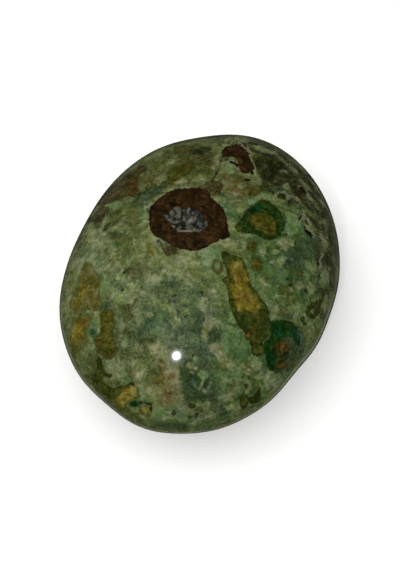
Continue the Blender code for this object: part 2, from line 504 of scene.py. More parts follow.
            (274, 170, 4, 6, 0), (287, 180, 2.4, 3.4, 0), (270, 163, 3, 4, 0), (276, 184, 5, 1.6, 10),
            (268, 176, 6, 4, 20), (258, 164, 4, 5, 0), (281, 171, 5, 4, 0))),
        "brown end": Patch((
            (290, 181), (296, 180), (301, 185), (307, 191), (304, 195), (297, 193), (291, 188))),
        "strokes at the upper right": Flecks((
            (309, 183, 8, 1.8, 46), (313, 197, 4, 1.2, 40), (307, 206, 7, 1.3, 45),
            (289, 204, 1.4, 3.6, -15), (297, 195, 5, 1.2, 30), (320, 197, 8, 1.1, 56),
            (327, 213, 8, 1.1, 66), (302, 174, 7, 1.3, 45), (316, 210, 6, 1.2, 55),
            (323, 228, 1.1, 6, -10), (330, 238, 1.1, 9, -6), (294, 176, 6, 1.2, 40),
            (266, 155, 9, 1.2, 16), (254, 151, 7, 1.3, 14), (313, 222, 1.3, 6, -35),
            (327, 262, 1.2, 8, 0))),
        "specks": Flecks((
            (163, 282, 1.5, 1.3, 0), (173, 296, 1.3, 1.2, 0), (176, 295, 1.2, 1.2, 0),
            (202, 293, 1.4, 1.3, 0), (209, 300, 1.2, 1.2, 0), (214, 299, 1.1, 1.1, 0),
            (186, 316, 2.4, 1.2, 0), (125.5, 272, 2.6, 1.3, -15), (193, 356, 1.5, 1.6, 0),
            (287.5, 279, 1.6, 1.6, 0), (290.5, 285, 2.2, 1.8, 0), (139, 194, 2, 1.6, 0),
            (105.5, 228, 3.2, 1.6, -55), (116, 361, 1.2, 2.4, 0), (174, 413, 2.8, 3.2, 0),
            (191.5, 406, 3.4, 2, 0), (196.5, 415, 2.4, 2.8, 0), (190, 417, 2, 1.8, 0),
            (150.5, 251, 1.3, 1.6, 0), (158, 241, 2.2, 1.4, -50), (205, 386, 1.2, 3.4, 10),
            (203, 320, 1.2, 4, 20), (246, 386, 2, 2.4, 0), (220, 224, 2, 2, 0),
            (273, 193, 1.6, 1.4, 0), (306, 291, 2, 2.6, 0), (262, 334, 2, 5, 10),
            (213, 203, 3, 1.2, -30), (98, 250, 3, 1.2, 60), (130, 269, 5, 1.2, 0),
            (122, 290, 3, 1.4, -40), (232, 163.5, 3.4, 1.4, 40))),
        "shade along the left edge": Flecks(((80, 243, 2.0, 6, 20), (90, 220, 4, 2.4, -55))),
    },
    Mineral.OCHRE: {
        "left strip": Patch((
            (84, 263), (88, 261), (92, 265), (96, 272), (100, 281), (99, 290), (101, 300), (99, 308),
            (94, 310), (88, 309), (84, 312), (78, 314), (72, 312), (70, 304), (73, 294), (77, 283),
            (80, 272))),
        "orange lobe": Patch((
            (75, 319), (82, 315), (89, 315), (91, 320), (88, 327), (86, 334), (87, 341), (84, 347),
            (80, 350), (78, 358), (74, 357), (71, 349), (70, 340), (71, 330), (72, 323))),
        "blots": Flecks((
            (76, 366, 3, 5, -20), (124, 388, 5, 4, 20), (98, 345, 3, 6, 0), (283, 312, 3, 4, 20),
            (145, 411, 6.6, 5, 30), (148, 182, 7, 2.6, 15), (247.5, 363.5, 3.6, 2.4, -60))),
        "ring at the right": Ring(283.5, 290, 3.6, 3.2, 1.3),
        "lower left": Patch((
            (115, 397), (119, 390), (127, 386), (134, 385), (138, 390), (138, 397), (132, 401),
            (128, 404), (124, 410), (118, 408), (115, 403))),
    },
    Mineral.LODEN: {
        "dark field": Patch((
            (251, 158), (256, 154), (263, 156), (271, 157), (279, 160), (285, 165), (290, 172),
            (291, 178), (286, 180), (287, 183), (281, 185), (275, 181), (271, 185), (265, 183),
            (259, 178), (255, 171), (253, 164))),
        "below the teal": Patch((
            (272, 340), (280, 336), (287, 340), (290, 349), (288, 359), (282, 368), (276, 371),
            (270, 364), (268, 351))),
        "top zone": Patch((
            (183, 150), (191, 147), (200, 145.5), (208, 146.5), (213, 149), (208, 154), (199, 156),
            (190, 155))),
        "shadows of the upper left lenses": Flecks((
            (115.5, 212, 3.4, 1.3, -20), (106, 228.5, 4, 1.3, -50), (114, 234, 5, 1.3, 5),
            (112, 222.5, 6, 1.2, -26), (98.5, 226, 3, 1.0, -60), (76, 252, 1.4, 4, 25))),
    },
    Mineral.UMBER: {
        "upper left": Patch((
            (126, 174), (136, 168), (142, 165), (147, 167), (146, 171), (141, 173), (138, 179),
            (138, 188), (135, 197), (128, 196), (118, 201), (108, 204), (98, 206), (101, 197),
            (112, 186))),
        "left edge": Patch((
            (92, 219), (97, 209), (103, 206), (108, 207), (108, 213), (104, 218), (99, 222),
            (94, 224))),
        "lobe of the nodule": Patch((
            (160, 238), (168, 243), (178, 249), (176, 253), (171, 256), (166, 255), (163, 250),
            (161, 244))),
        "nodule's tail": Patch((
            (192, 190), (198, 187), (205, 183), (212, 180.5), (218, 181), (223, 185), (222, 190),
            (217, 194), (211, 196), (203, 195), (196, 193))),
    },
    Mineral.OLIVE: {
        "band": Patch((
            (222, 253), (225, 251), (231, 254), (238, 256), (243, 259), (246, 265), (249, 278),
            (252, 285), (257, 292), (262, 299), (266, 304), (269, 311), (270, 319), (270, 326),
            (271, 332), (268, 337), (263, 342), (265, 350), (263, 356), (256, 356), (252, 352),
            (250, 344), (246, 338), (243, 331), (238, 326), (235, 318), (232, 311), (229, 303),
            (228, 294), (226, 286), (222, 280), (226, 276), (227, 270), (224, 264), (222, 258))),
        "left wing": Patch((
            (240, 398), (242, 395), (246, 396), (250, 398), (249, 402), (246, 407), (242, 410),
            (240, 405))),
        "right wing": Patch((
            (250, 399), (255, 393), (260, 388), (261.5, 394), (259, 401), (255, 404), (250, 404))),
        "lower left mass": Patch((
            (97, 357), (101, 359), (104, 367), (106, 373), (112, 374), (110, 378), (104, 377),
            (102, 380), (107, 385), (112, 388), (120, 386), (128, 385), (132, 381), (134, 384),
            (130, 388), (122, 391), (117, 397), (110, 399), (102, 392), (96, 383), (94, 375),
            (97, 367))),
        "comma": Ring(313.5, 310, 4.6, 6, 2.2, 20),
        "comma's head": Spot(319, 301.5, 3, 4, 20),
        "dash at the bottom": Streak(((140, 403), (151, 404), (151, 410)), 0.9),
        "blots": Flecks((
            (282, 196.5, 3.8, 2.6, 20), (303.5, 321, 7, 2.2, 60), (122, 383, 3, 1.6, 0),
            (186, 236, 10, 2.4, 0), (266, 186, 3, 3, 0), (170, 198, 4, 1.6, -40),
            (129, 177, 3, 3, 0))),
    },
    Mineral.GREEN: {
        "drop": Patch((
            (260, 200), (266, 200), (273, 204), (279, 210), (283, 216), (285, 222), (284, 228),
            (281, 234), (275, 239), (268, 240), (260, 237), (252, 233), (245, 233), (240, 231),
            (235, 227), (237, 223), (242, 217), (245, 211), (250, 208), (255, 204))),
        "teal field": Patch((
            (270, 322), (277, 320), (285, 320), (292, 322), (297, 328), (296, 334), (289, 337),
            (281, 338), (276, 342), (275, 350), (276, 358), (275, 366), (272, 371), (268, 366),
            (265, 354), (264, 343), (268, 339), (271, 333))),
        "blot": Spot(134, 403.5, 4.4, 2.8),
    },
    Mineral.TEAL: {
        "heart of the field": Patch((
            (271, 324), (278, 322), (285, 325), (287, 331), (283, 337), (279, 340), (274, 336),
            (271, 330))),
        "tongue": Patch((
            (264, 343), (269, 346), (272, 353), (275, 359), (273, 365), (270, 367), (268, 361),
            (265, 354))),
        "blots": Flecks((
            (256, 208, 7.5, 4, -12), (295, 335, 10, 4, 68), (92, 332.5, 3.6, 3, 80),
            (135, 404.5, 4, 3.2, 0))),
    },
    Mineral.BRONZE: {
        "heart of the drop": Patch((
            (251, 216), (258, 213), (265, 213), (271, 216), (276, 223), (277, 230), (272, 236),
            (265, 235), (258, 231), (252, 226), (249, 221))),
        "finger": Patch((
            (100, 314), (104, 311), (110, 310), (114, 313), (115, 321), (114, 332), (115, 345),
            (116, 353), (112, 359), (107, 359), (103, 355), (98, 352), (95, 346), (94, 340), (99, 334),
            (101, 325))),
        "lobe beside the band": Ring(217.5, 266.5, 4.4, 6, 1.2),
        "ochre spot": Patch((
            (169, 184), (168, 177), (171, 171), (177, 166), (184, 163), (191, 162), (195, 164),
            (192, 169), (188, 173), (182, 176), (177, 180), (172, 184))),
        "by the drop": Patch((
            (248, 196), (249, 192), (253, 188), (258, 185), (264, 186), (263, 190), (258, 194),
            (252, 197))),
        "tip of the drop": Spot(240, 229, 5.4, 3, 35),
        "upper dot": Spot(252, 247, 5.4, 5.2),
        "lower dot": Spot(257, 264.5, 5.6, 7.6, -12),
        "top spot": Patch((
            (173, 149), (178, 146), (186, 146), (193, 147), (190, 150), (183, 152.5), (176, 152.5))),
    },
    Mineral.GOLD: {
        "heart of the band": Patch((
            (233, 261), (239, 262), (244, 268), (247, 276), (248, 285), (252, 293), (258, 300),
            (260, 307), (255, 312), (247, 311), (239, 310), (234, 302), (232, 291), (233, 280),
            (231, 270))),
        "left strip": Streak(((84, 286), (80, 298), (76, 306)), 2.2),
        "orange lobe": Patch((
            (77, 320), (83, 317), (88, 318), (87, 325), (83, 333), (79, 340), (74, 342), (72, 334),
            (74, 326))),
        "lower left": Patch((
            (118, 397), (121, 392), (128, 388), (134, 387), (136, 392), (133, 398), (127, 402),
            (122, 407), (118, 404))),
        "vein beside the nodule": Streak((
            (150, 234), (149, 243), (148, 250), (151, 253.5), (153, 249)), 1.5),
        "blots": Flecks(((145, 410.5, 4, 3.2, 30), (125, 396, 8, 5, -30), (82, 321, 5, 3, 0))),
    },
    Mineral.RUST: {
        "by the teal": Spot(283, 347, 6.4, 4.8),
        "blots": Flecks((
            (283.5, 365.5, 4.4, 3.4, 0), (189.5, 243, 3, 2.6, 60), (168, 394.5, 4.2, 4, 0),
            (132.5, 186, 8, 4.4, 85), (169, 401, 2, 1.8, 0), (161, 361, 2, 2, 0),
            (163.5, 365, 1.8, 1.6, 0), (298, 273, 1.6, 2.4, 0), (172, 376, 4, 2.4, 0),
            (238, 160, 3, 3, 0), (151, 252, 1.6, 1.4, 0), (250, 332, 3, 4, 0), (240, 275, 3, 6, 0),
            (246, 298, 3, 6, -30), (82, 322, 5, 4, 0), (256, 218, 4, 2, 0))),
    },
    Mineral.LIMONITE: {
        "nodule": Patch((
            (161, 197), (169, 192), (179, 189), (190, 188), (200, 188.5), (207, 191), (212, 198),
            (219, 204), (224, 210), (227, 220), (228, 228), (230, 234), (227, 238), (219, 241),
            (210, 245), (201, 249), (193, 251), (186, 250), (180, 248), (172, 246), (165, 241),
            (157, 237), (152, 232), (149, 224), (149, 212), (153, 204))),
        "hook": Patch((
            (222, 151), (226, 147), (233, 145), (240, 142.5), (246, 145), (248.5, 154), (252, 162),
            (254.5, 169), (248, 173), (241, 173), (238.5, 166), (237, 160), (233, 157.5), (227, 156.5),
            (223, 157.5))),
        "fleck under the hook": Streak(((231, 162), (234, 163), (237, 166)), 1.3),
        "bits": Flecks(((251, 172.5, 3, 1.4, 20), (303, 190, 4, 2.2, 45), (247, 180, 3, 1.2, 10))),
    },
    Mineral.QUARTZ: {
        "in the nodule": Patch((
            (165, 216), (169.5, 211), (173, 209), (176, 206.5), (180, 207), (184, 209), (188, 207),
            (192, 208), (198, 209.5), (201, 213), (203, 218), (207.5, 221), (207.5, 226), (203, 229.5),
            (199, 232), (185, 232), (176.5, 231.5), (177.5, 226.5), (176, 223), (171, 221.5),
            (167.5, 219))),
    },
    # Painted highlights on the lit faces and edges of the quartz crystals
    Mineral.CRYSTAL_HIGHLIGHT: {
        "lit edges": Flecks((
            (178, 215.5, 3.2, 1.8, -30), (179.5, 212, 1.4, 2.6, 0), (189.8, 219.5, 2.6, 1.9, -20),
            (188.7, 209, 1.7, 1.6, 0), (192.6, 213, 1.5, 1.2, 0), (170, 220.5, 5.4, 1.0, 38),
            (176.5, 221, 3.4, 1.0, -25), (167, 216.5, 1.8, 1.2, 40), (195, 218, 4, 0.7, -60),
            (199, 223, 1.8, 1.4, 0), (206, 223, 1.0, 2.6, 10), (187, 231, 9, 0.9, 0),
            (196, 230.5, 3, 1.4, 35), (177.5, 228, 0.8, 3.4, 10), (176.5, 208, 2.4, 1.4, -10),
            (172, 213.5, 2.2, 2, 0))),
    },
    Mineral.GAP_SHADE_AND_CRACK: {
        # Painted shade in the gaps between the quartz crystals
        "in the quartz": Flecks((
            (182, 214, 1.1, 4.6, 0), (182, 223.5, 4.4, 2.2, -22), (178, 225.5, 2.6, 1.8, -50),
            (174.5, 224.4, 2, 1.0, 10), (183.5, 228.4, 3.6, 1.3, 0), (194.5, 224.2, 2.4, 1.5, -15),
            (197.3, 226.2, 1.4, 2.2, -20), (200.5, 228.7, 2.8, 1.0, 0), (203.6, 225.2, 2.4, 1.4, -35),
            (186, 208.6, 1.3, 1.0, 0), (193, 209.6, 2.2, 0.9, 10), (187, 218.8, 1.0, 1.8, 30),
            (174.5, 218, 1.6, 1.4, 0))),
        # A real dark crack, the stone's own colour
        "crack below the hook": Streak((
            (225, 151), (222.5, 156), (220.5, 162), (218.5, 169), (215.5, 176), (212, 182)), 0.85),
    },
}

# Broad zones of the photographed side, as ovals in the photograph's pixels
FACE_ZONES: dict[Tint, dict[str, Zone]] = {
    Tint.MINT: {
        "right half": Zone(Spot(292, 262, 62, 48, 70), 1.0),
        "right of the nodule": Zone(Spot(228, 212, 16, 12, 40), 0.8),
        "lower middle": Zone(Spot(245, 370, 45, 34, -20), 0.9),
        "between highlight and band": Zone(Spot(222, 320, 26, 22, 60), 0.7),
        "left": Zone(Spot(86, 255, 8, 12, 0), 0.6),
        "bottom": Zone(Spot(190, 418, 40, 12, 0), 0.6),
    },
    Tint.LIGHT: {
        "left": Zone(Spot(100, 255, 24, 18, -60), 1.0),
        "left of the middle": Zone(Spot(120, 285, 22, 26, 0), 0.7),
        "above the highlight": Zone(Spot(170, 288, 36, 20, 0), 0.6),
        "below the highlight": Zone(Spot(190, 416, 30, 8, 0), 0.7),
        "lower right": Zone(Spot(268, 380, 20, 12, -50), 0.7),
    },
    Tint.SAGE: {
        "left of the middle": Zone(Spot(128, 338, 26, 30, 0), 1.0),
        "above the nodule": Zone(Spot(146, 200, 22, 12, -30), 1.0),
        "above the highlight": Zone(Spot(170, 300, 44, 26, 0), 0.5),
        "lower edge": Zone(Spot(222, 400, 34, 14, -20), 0.5),
        "upper middle": Zone(Spot(226, 200, 24, 14, 0), 0.8),
        "lower left": Zone(Spot(108, 370, 22, 22, 0), 0.8),
    },
    # Painted reflection: the bluish haze that the polish mirrors about the highlight
    Tint.PAINTED_HAZE: {
        "about the highlight": Zone(Spot(190, 335, 42, 34, 70), 0.9),
        "left of the highlight": Zone(Spot(150, 320, 22, 18, 0), 0.6),
        "above the highlight": Zone(Spot(195, 297, 34, 16, 0), 0.5),
    },
    Tint.WARM: {
        "top": Zone(Spot(190, 165, 42, 22, -15), 0.8),
        "upper left": Zone(Spot(146, 182, 24, 14, -35), 0.8),
        "left of the nodule": Zone(Spot(128, 235, 26, 20, -60), 0.35),
        "lower left": Zone(Spot(105, 388, 34, 20, 50), 0.6),
        "left of the middle": Zone(Spot(130, 275, 20, 12, 10), 0.4),
    },
    Tint.CLAY: {
        "below the hook": Zone(Spot(238, 187, 20, 13, 20), 1.0),
        "below the highlight": Zone(Spot(165, 385, 22, 20, 0), 0.7),
        "upper right": Zone(Spot(300, 190, 30, 14, 48), 0.5),
    },
    Tint.DEEP: {
        # Painted reflection: the soft darker green below the highlight, where the polish mirrors a dark
        # shape
        "below the highlight": Zone(Spot(200, 388, 22, 26, 0), 0.9),
        "lower right": Zone(Spot(240, 402, 38, 14, -30), 0.5),
        "right middle": Zone(Spot(300, 262, 26, 40, 0), 0.6),
    },
    Tint.GREY: {
        "upper right edge": Zone(Spot(318, 190, 50, 14, 57), 1.0),
        "upper right": Zone(Spot(290, 176, 40, 24, 45), 1.0),
        "right edge": Zone(Spot(328, 255, 60, 15, 92), 0.9),
        "top edge": Zone(Spot(240, 140, 40, 7, 5), 0.7),
    },
}

# Widths of the mottling in millimetres, from clouds down to grain, with its octaves and roughness
NOISE_WIDTHS = {
    Mottling.BROAD: (4.5, 2.0, 0.5),
    Mottling.BLOTCH: (1.8, 3.0, 0.5),
    Mottling.MOTTLE: (0.8, 2.0, 0.55),
    Mottling.GRAIN: (0.36, 2.0, 0.6),
}

# A slow swirl bends all the mottling, and small cells give it a crumb, in millimetres
SWIRL_WIDTH = 1.6
SWIRL_REACH = 1.2
CRUMB_WIDTH = 0.6

# For each kind of mottling, which of its three fields is used and how strongly
Mix = dict[Mottling, tuple[int, float]]
GROUND_MIX: Mix = {
    Mottling.BROAD: (0, 0.5), Mottling.BLOTCH: (0, 1.0), Mottling.MOTTLE: (0, 0.9),
    Mottling.GRAIN: (0, 0.95), Mottling.CRUMB: (0, 0.2)}
TINT_MIX: Mix = {Mottling.BLOTCH: (0, 1.1), Mottling.MOTTLE: (1, 0.5)}
EDGE_MIX: Mix = {Mottling.MOTTLE: (0, 1.0), Mottling.GRAIN: (1, 0.8)}
STAIN_MIX: Mix = {
    Mottling.BLOTCH: (1, 1.0), Mottling.MOTTLE: (2, 1.3), Mottling.GRAIN: (0, 1.4),
    Mottling.CRUMB: (0, 0.2)}
RED_DRIFT: Mix = {Mottling.BLOTCH: (2, 0.45), Mottling.MOTTLE: (0, 0.35)}
BLUE_DRIFT: Mix = {Mottling.BLOTCH: (1, 0.9), Mottling.MOTTLE: (2, 0.7)}
PIT_MIX: Mix = {Mottling.GRAIN: (1, 0.6), Mottling.CRUMB: (2, 0.06)}

# Middles that the mixes swing about: a tone, and the share of red and of blue that is left
MIDDLE_TONE = 0.5
RED_SHARE = 1.0
BLUE_SHARE = 0.96

# Places of a mineral's three colours on the scale of tone, and the amounts between which a tint grows
TONE_PLACES = (0.15, 0.50, 0.85)
TINT_RISE = (0.22, 0.62)

# How fully a darker edge covers its mineral, and where and how fully a pale halo shows
EDGE_COVER = 0.85
HALO_RISE = (0.42, 0.60)
HALO_COVER = 0.7

# Turquoise has an index near 1.61; its polish is even, and the iron oxide in it stays duller
TURQUOISE_IOR = 1.61
POLISH_ROUGHNESS = 0.10
MATRIX_ROUGHNESS = 0.30
POLISH_SHINE = 0.5
MATRIX_SHINE = 0.25

# Depths in millimetres at which a pit's worn rim pales, and at which its floor is darkened with painted
# shade
PIT_RIM_RISE = (0.01, 0.06)
PIT_RIM_COVER = 0.6
PIT_RIM = "77755a"
PIT_SHADE = 0.205
PIT_SHADE_BLUR = 0.03
PIT_SHADE_COLOUR = "120d05"

# What the polish mirrors near its edge, from beside the stone (0) to straight behind it (1)
EDGE_LIGHT_BELOW = (
    (0.0, "242423"), (0.77, "242423"), (0.865, "8e9288"), (0.895, "84887e"), (0.935, "040404"))
EDGE_LIGHT_ABOVE = (
    (0.0, "262625"), (0.70, "343531"), (0.84, "50524b"), (0.89, "3a3c36"), (0.94, "050505"))


@dataclass(frozen=True)
class Worms:
    """Thin lines where one field of a kind of mottling passes a value.

    Attributes:
        kind: The kind of mottling.
        number: Which of its three fields.
        middle: The value that the lines follow.
        reach: Change of the field from a line's middle to its side.
        weight: How strongly they show in the ground's tone.
    """
    kind: Mottling
    number: int
    middle: float
    reach: float
    weight: float


GROUND_WORMS = (
    Worms(Mottling.BLOTCH, 1, 0.46, 0.022, 0.75),
    Worms(Mottling.MOTTLE, 1, 0.50, 0.035, 0.65))

# Greys across one such line: level, pale, level, dark, level
WORM_GREYS = ("bcbcbc", "e2e2e2", "bcbcbc", "848484", "bcbcbc")


@dataclass(frozen=True)
class Window:
    """A side that the photograph hides, and the part of the photographed side that it is like.

    Attributes:
        azimuth: Degrees from +X to the middle of the side.
        elevation: Degrees above level to the middle of the side.
        like: Pixel of the photograph that its middle looks like.
        turn: Degrees by which the pattern is turned.
        mirrored: Whether the pattern is also mirrored.
    """
    azimuth: float
    elevation: float
    like: Spot2D
    turn: float
    mirrored: bool = False


# The hidden sides are dressed like parts of the photographed one, turned or mirrored
WINDOWS = (
    Window(111, 2, (250, 300), 100, True),
    Window(178, -12, (125, 250), -60, True),
    Window(40, -10, (285, 250), 150),
    Window(-20, -28, (200, 380), 40, True),
    Window(-95, -38, (110, 330), 75),
    Window(150, -58, (240, 370), -120),
    Window(40, -68, (150, 290), 200, True),
    Window(-140, -42, (290, 195), 120),
)

# Marks that the stone has only once
SEEN_ONCE = (
    "nodule", "drop", "heart of the drop", "hook", "in the nodule", "lit edges", "in the quartz",
    "crack below the hook", "vein beside the nodule", "edge of the nodule", "below the nodule")


@dataclass(frozen=True)
class Swell:
    """A broad rise, or below zero a worn flat, about one direction from the stone's middle.

    Attributes:
        azimuth: Degrees from +X.
        elevation: Degrees above level.
        reach: Degrees over which the rise falls off.
        height: Millimetres at the middle of the rise.
    """
    azimuth: float
    elevation: float
    reach: float
    height: float


@dataclass(frozen=True)
class Hollow:
    """A pit along a short path.

    Attributes:
        view: The view that it is laid out on.
        path: Its middle line, in millimetres across and up from the stone's middle.
        radius: Millimetres from that line to the rim.
        depth: Millimetres to its floor.
    """
    view: View
    path: Path2D
    radius: float
    depth: float

    def outside(self, spots: np.ndarray) -> np.ndarray:
        """Distance from each spot to the pit's rim, below zero inside it."""
        points = np.array(self.path, float)
        return distance_to_lines(spots, points[:-1], points[1:]) - self.radius


@dataclass(frozen=True)
class PhotoCamera:
    """The photograph's viewpoint, in whose pixels the marks of the side it shows are laid out.

    Attributes:
        view: Where it looks from.
        distance: Millimetres from the target.
        target: The point that it looks at, in millimetres.
        lens: Focal length in millimetres.
        sensor: Longer side of the film in millimetres.
        clip_start: Nearest distance that shows, in metres.
        clip_end: Farthest distance that shows, in metres.
    """
    view: View = View.FACE
    distance: float = 260.0
    target: tuple[float, float, float] = (-0.023, -0.778, 9.616)
    lens: float = 123.1
    sensor: float = 36.0
    clip_start: float = 0.01
    clip_end: float = 10.0

    def place(self) -> np.ndarray:
        """Where the camera stands, in millimetres."""
        return np.array(self.target) + direction(*self.view.value) * self.distance

    def spots(self, points: np.ndarray) -> np.ndarray:
        """Pixel of the photograph at which each point of the stone appears.

        Args:
            points: Points in millimetres, one row each.

        Returns:
            One pixel for each point, from the photograph's upper left corner.
        """
        across, up, towards = view_axes(*self.view.value)
        arm = points - self.place()
        scale = self.lens / self.sensor * max(PHOTO_WIDTH, PHOTO_HEIGHT) / -(arm @ towards)
        x = PHOTO_WIDTH / 2 + arm @ across * scale
        y = PHOTO_HEIGHT / 2 - arm @ up * scale
        return np.stack([x, y], axis=1)

    def facing(self, points: np.ndarray, normals: np.ndarray) -> np.ndarray:
        """How squarely the surface at each point faces the camera, from -1 to 1."""
        arm = self.place() - points
        return (normals * arm).sum(1) / np.linalg.norm(arm, axis=1)

    def build(self) -> None:
        """Make the camera and look through it."""
        across, up, towards = (Vector(axis) for axis in view_axes(*self.view.value))
        data = bpy.data.cameras.new("photo_camera")
        data.lens, data.sensor_width = self.lens, self.sensor
        data.clip_start, data.clip_end = self.clip_start, self.clip_end
        camera = bpy.data.objects.new("photo_camera", data)
        turn = Matrix((across, up, towards)).transposed()
        camera.matrix_world = Matrix.Translation(Vector(self.place()) * MM) @ turn.to_4x4()
        bpy.context.scene.collection.objects.link(camera)
        bpy.context.scene.camera = camera


@dataclass
class PebbleForm:
    """The stone's form, with the same values as its solid, in millimetres.

    Attributes:
        half_width: From the middle of the plain egg to its side.
        half_length: From its middle to either end.
        crown_height: From its middle to its top.
        belly_depth: From its middle to its bottom, before that is pressed flat.
        middle: The egg's middle, above the plane that the stone rests on.
        rest_ease: Height over which the belly eases into the flat resting spot.
        probe: Degrees between the rays that find which way the surface faces.
        swells: Rises and flats that make the egg a pebble.
        hollows: The pits, and the pocket that the quartz nearly fills.
    """
    half_width: float = 18.0
    half_length: float = 22.7
    crown_height: float = 12.5
    belly_depth: float = 10.4
    middle: tuple[float, float, float] = (0.15, 0.04, 9.7)
    rest_ease: float = 0.2
    probe: float = 0.2
    swells: tuple[Swell, ...] = (
        Swell(256, -4, 12, -0.55), Swell(217, 2, 16, 0.30), Swell(283, -6, 12, -0.30),
        Swell(308, -6, 13, -0.20), Swell(333, -4, 14, -0.65), Swell(2, -2, 13, -0.25),
        Swell(177, 8, 18, -0.25), Swell(111, 12, 15, -0.55), Swell(56, 38, 34, -1.10),
        Swell(236, 55, 45, 0.60), Swell(11, -42, 40, -0.60))
    hollows: dict[str, Hollow] = field(default_factory=lambda: {
        "quartz pocket": Hollow(View.FACE, ((-3.1, 7.5), (-1.9, 7.6), (-0.9, 7.3)), 1.35, 0.30),
        "pit, upper": Hollow(View.FACE, ((12.7, 8.1), (13.1, 8.5)), 0.42, 0.26),
        "pit, middle": Hollow(View.FACE, ((13.6, 7.9), (13.9, 7.4)), 0.40, 0.26),
        "pit, large": Hollow(View.FACE, ((13.5, 7.0), (13.7, 6.4), (14.3, 5.9)), 0.45, 0.32),
        "slit": Hollow(View.FACE, ((15.4, 5.9), (15.7, 5.3)), 0.34, 0.22),
        "forked pit": Hollow(View.FACE, ((15.5, 3.3), (15.0, 2.6), (15.2, 1.8)), 0.36, 0.24),
        "back pit, long": Hollow(View.BACK, ((-6.2, 2.6), (-5.4, 2.1), (-4.9, 1.3)), 0.44, 0.30),
        "back pit, round": Hollow(View.BACK, ((-3.6, 0.2), (-3.4, 0.1)), 0.42, 0.26),
    })

    def polished(self, rays: np.ndarray) -> np.ndarray:
        """Points of the smooth pebble along unit rays from its middle.

        Args:
            rays: Unit vectors, one row each.

        Returns:
            Points in millimetres, one row each.
        """
        height = np.where(rays[:, 2] >= 0, self.crown_height, self.belly_depth)
        level = np.full((len(rays), 2), (self.half_width, self.half_length))
        scaled = rays / np.column_stack([level, height])
        radius = 1 / np.linalg.norm(scaled, axis=1)
        for swell in self.swells:
            nearness = rays @ direction(swell.azimuth, swell.elevation)
            apart = np.degrees(np.arccos(np.clip(nearness, -1, 1)))
            radius += swell.height * np.exp(-(apart / swell.reach) ** 2)
        points = np.array(self.middle) + rays * radius[:, None]
        overlap = np.maximum(self.rest_ease - np.abs(points[:, 2]), 0)
        points[:, 2] = np.maximum(points[:, 2], 0) + overlap ** 2 / (4 * self.rest_ease)
        return points

    def place_and_normal(self, azimuth: float, elevation: float) -> tuple[np.ndarray, np.ndarray]:
        """Point of the smooth pebble along one ray, and the way that its surface faces there.

        Args:
            azimuth: Degrees of the ray from +X.
            elevation: Degrees of the ray above level.

        Returns:
            The point in millimetres, and the unit normal.
        """
        steps = ((0, 0), (self.probe, 0), (0, self.probe))
        rays = np.array([direction(azimuth + turn, elevation + rise) for turn, rise in steps])
        here, beside, above = self.polished(rays)
        normal = np.cross(beside - here, above - here)
        return here, normal / np.linalg.norm(normal)

    def outside(self, hollow: Hollow, points: np.ndarray) -> np.ndarray:
        """Distance from each point to a hollow's rim, below zero inside it.

        Args:
            hollow: The hollow.
            points: Points of the smooth pebble, in millimetres.

        Returns:
            One distance for each point, which is endless behind the hollow's view.
        """
        across, up, towards = view_axes(*hollow.view.value)
        arm = points - np.array(self.middle)
        near = arm @ towards > 0
        result = np.full(len(points), np.inf)
        result[near] = hollow.outside(np.stack([arm[near] @ across, arm[near] @ up], axis=1))
        return result

    def sink(self, points: np.ndarray) -> np.ndarray:
        """How far each point of the smooth pebble is sunk by the hollows.

        Args:
            points: Points of the smooth pebble, in millimetres.

        Returns:
            Millimetres of depth, one for each point.
        """
        deepest = np.zeros(len(points))
        for hollow in self.hollows.values():
            share = np.clip(-self.outside(hollow, points) / hollow.radius, 0, 1)
            rim = 1 - (1 - share) ** 2
            deepest = np.maximum(deepest, np.where(share > 0, hollow.depth * rim ** 2, 0))
        return deepest


